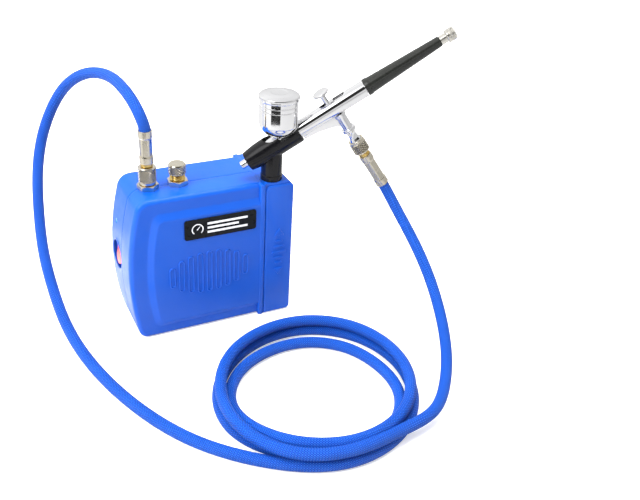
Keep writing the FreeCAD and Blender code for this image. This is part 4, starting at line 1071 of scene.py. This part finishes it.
def card_round_cup():
    """Black arc-shaped card near the floor that only reflections see, as a dark band on the cup's side."""
    cup = brush_point(CUP_AT)
    middle, spread = math.radians(-130.7), math.radians(27)
    shape = Shape()
    arc = []
    for radius in (0.32, 0.41):
        for i in range(33):
            a = middle + spread * (i / 16 - 1)
            arc.append(Vector((cup.x + radius * math.cos(a), cup.y + radius * math.sin(a), 0.004)))
    shape.add(arc, [(i, i + 1, 34 + i, 33 + i) for i in range(32)])
    MATERIALS["card"] = finish("black_card", (0.01, 0.01, 0.01), (0.008, 0.008, 0.008), 0.9, specular=0.0)
    piece = shape.make("card_round_cup", "card", smooth=False)
    piece.visible_camera = False
    piece.visible_diffuse = False
    piece.visible_shadow = False


def surroundings(world):
    """White to the camera, an uneven bright room to soft surfaces, and to mirrors a pale room with one
    dark band that runs along the airbrush."""
    graph = Graph(world.node_tree)
    background = world.node_tree.nodes["Background"]
    way = graph.node("ShaderNodeTexCoord").outputs["Generated"]
    parts = graph.node("ShaderNodeSeparateXYZ")
    graph.put(parts.inputs[0], way)
    x, y, z = parts.outputs
    above = graph.math("MULTIPLY", graph.math("MAXIMUM", z, 0.0), ABOVE)
    behind = graph.math("MULTIPLY", graph.math("MAXIMUM", y, 0.0), BEHIND)
    minus_x = graph.math("MULTIPLY", x, -1.0)
    left = graph.math("MULTIPLY", graph.math("MAXIMUM", minus_x, 0.0), LEFTWARD)
    room = graph.math("ADD", graph.math("ADD", above, behind), graph.math("ADD", left, AMBIENT))

    toward = (Vector(CAMERA_AT) - brush_point(20.0)).normalized()
    front = (toward - TAIL * toward.dot(TAIL)).normalized()
    rise = front.cross(TAIL)
    if rise.z < 0:
        rise = -rise
    turn = graph.math("ARCTAN2", graph.dot(way, rise), graph.dot(way, front))
    off = graph.math("ABSOLUTE", graph.math("SUBTRACT", turn, math.radians(BAND_AT)))
    band = graph.ramp(off, math.radians(BAND_CORE), math.radians(BAND_EDGE), 0.03, 1.0)
    level = graph.math("ADD", graph.ramp(z, -0.1, 0.75, HORIZON, ZENITH),
                       graph.ramp(x, -0.9, 0.9, 0.12, -0.12))
    level = graph.math("ADD", level, graph.ramp(y, 0.3, 0.8, 0.0, 0.16))
    facing = graph.dot(way, Vector(WINDOW).normalized())
    window = graph.math("MULTIPLY", graph.ramp(facing, 0.93, 0.975, 0.0, 1.0), 2.5)
    mirrored = graph.math("ADD", graph.math("MULTIPLY", level, band), window)

    rays = graph.node("ShaderNodeLightPath").outputs
    lit = graph.choose(rays["Is Glossy Ray"], room, mirrored)
    graph.put(background.inputs["Strength"], graph.choose(rays["Is Camera Ray"], lit, 1.0))
    graph.put(background.inputs["Color"], colour(1.0, 1.0, 1.0))


def studio():
    scene = bpy.context.scene
    world = bpy.data.worlds.new("studio")
    world.use_nodes = True
    surroundings(world)
    scene.world = world
    scene.view_settings.view_transform = "Standard"
    scene.view_settings.look = "None"
    target = (0.0, -0.03, 0.06)
    softbox("key_left", (-0.95, -0.2, 0.8), target, 0.5, 0.5, 16.0)
    softbox("fill_right", (0.7, -0.9, 0.7), target, 0.8, 0.8, 0.4)
    softbox("top", (0.0, 0.06, 1.2), target, 1.2, 0.8, 25.0)
    card_round_cup()


def camera():
    forward = Vector((math.sin(HEADING) * math.cos(PITCH), math.cos(HEADING) * math.cos(PITCH),
                      -math.sin(PITCH)))
    right = Vector((math.cos(HEADING), -math.sin(HEADING), 0))
    up = right.cross(forward)
    x = right * math.cos(ROLL) + up * math.sin(ROLL)
    y = up * math.cos(ROLL) - right * math.sin(ROLL)
    data = bpy.data.cameras.new("camera")
    data.sensor_fit = "HORIZONTAL"
    data.sensor_width = 36.0
    data.lens = LENS
    data.clip_start = 0.01
    eye = bpy.data.objects.new("camera", data)
    matrix = Matrix((x, y, -forward)).transposed().to_4x4()
    matrix.translation = Vector(CAMERA_AT)
    eye.matrix_world = matrix
    bpy.context.scene.collection.objects.link(eye)
    bpy.context.scene.camera = eye


floor()
studio()
camera()
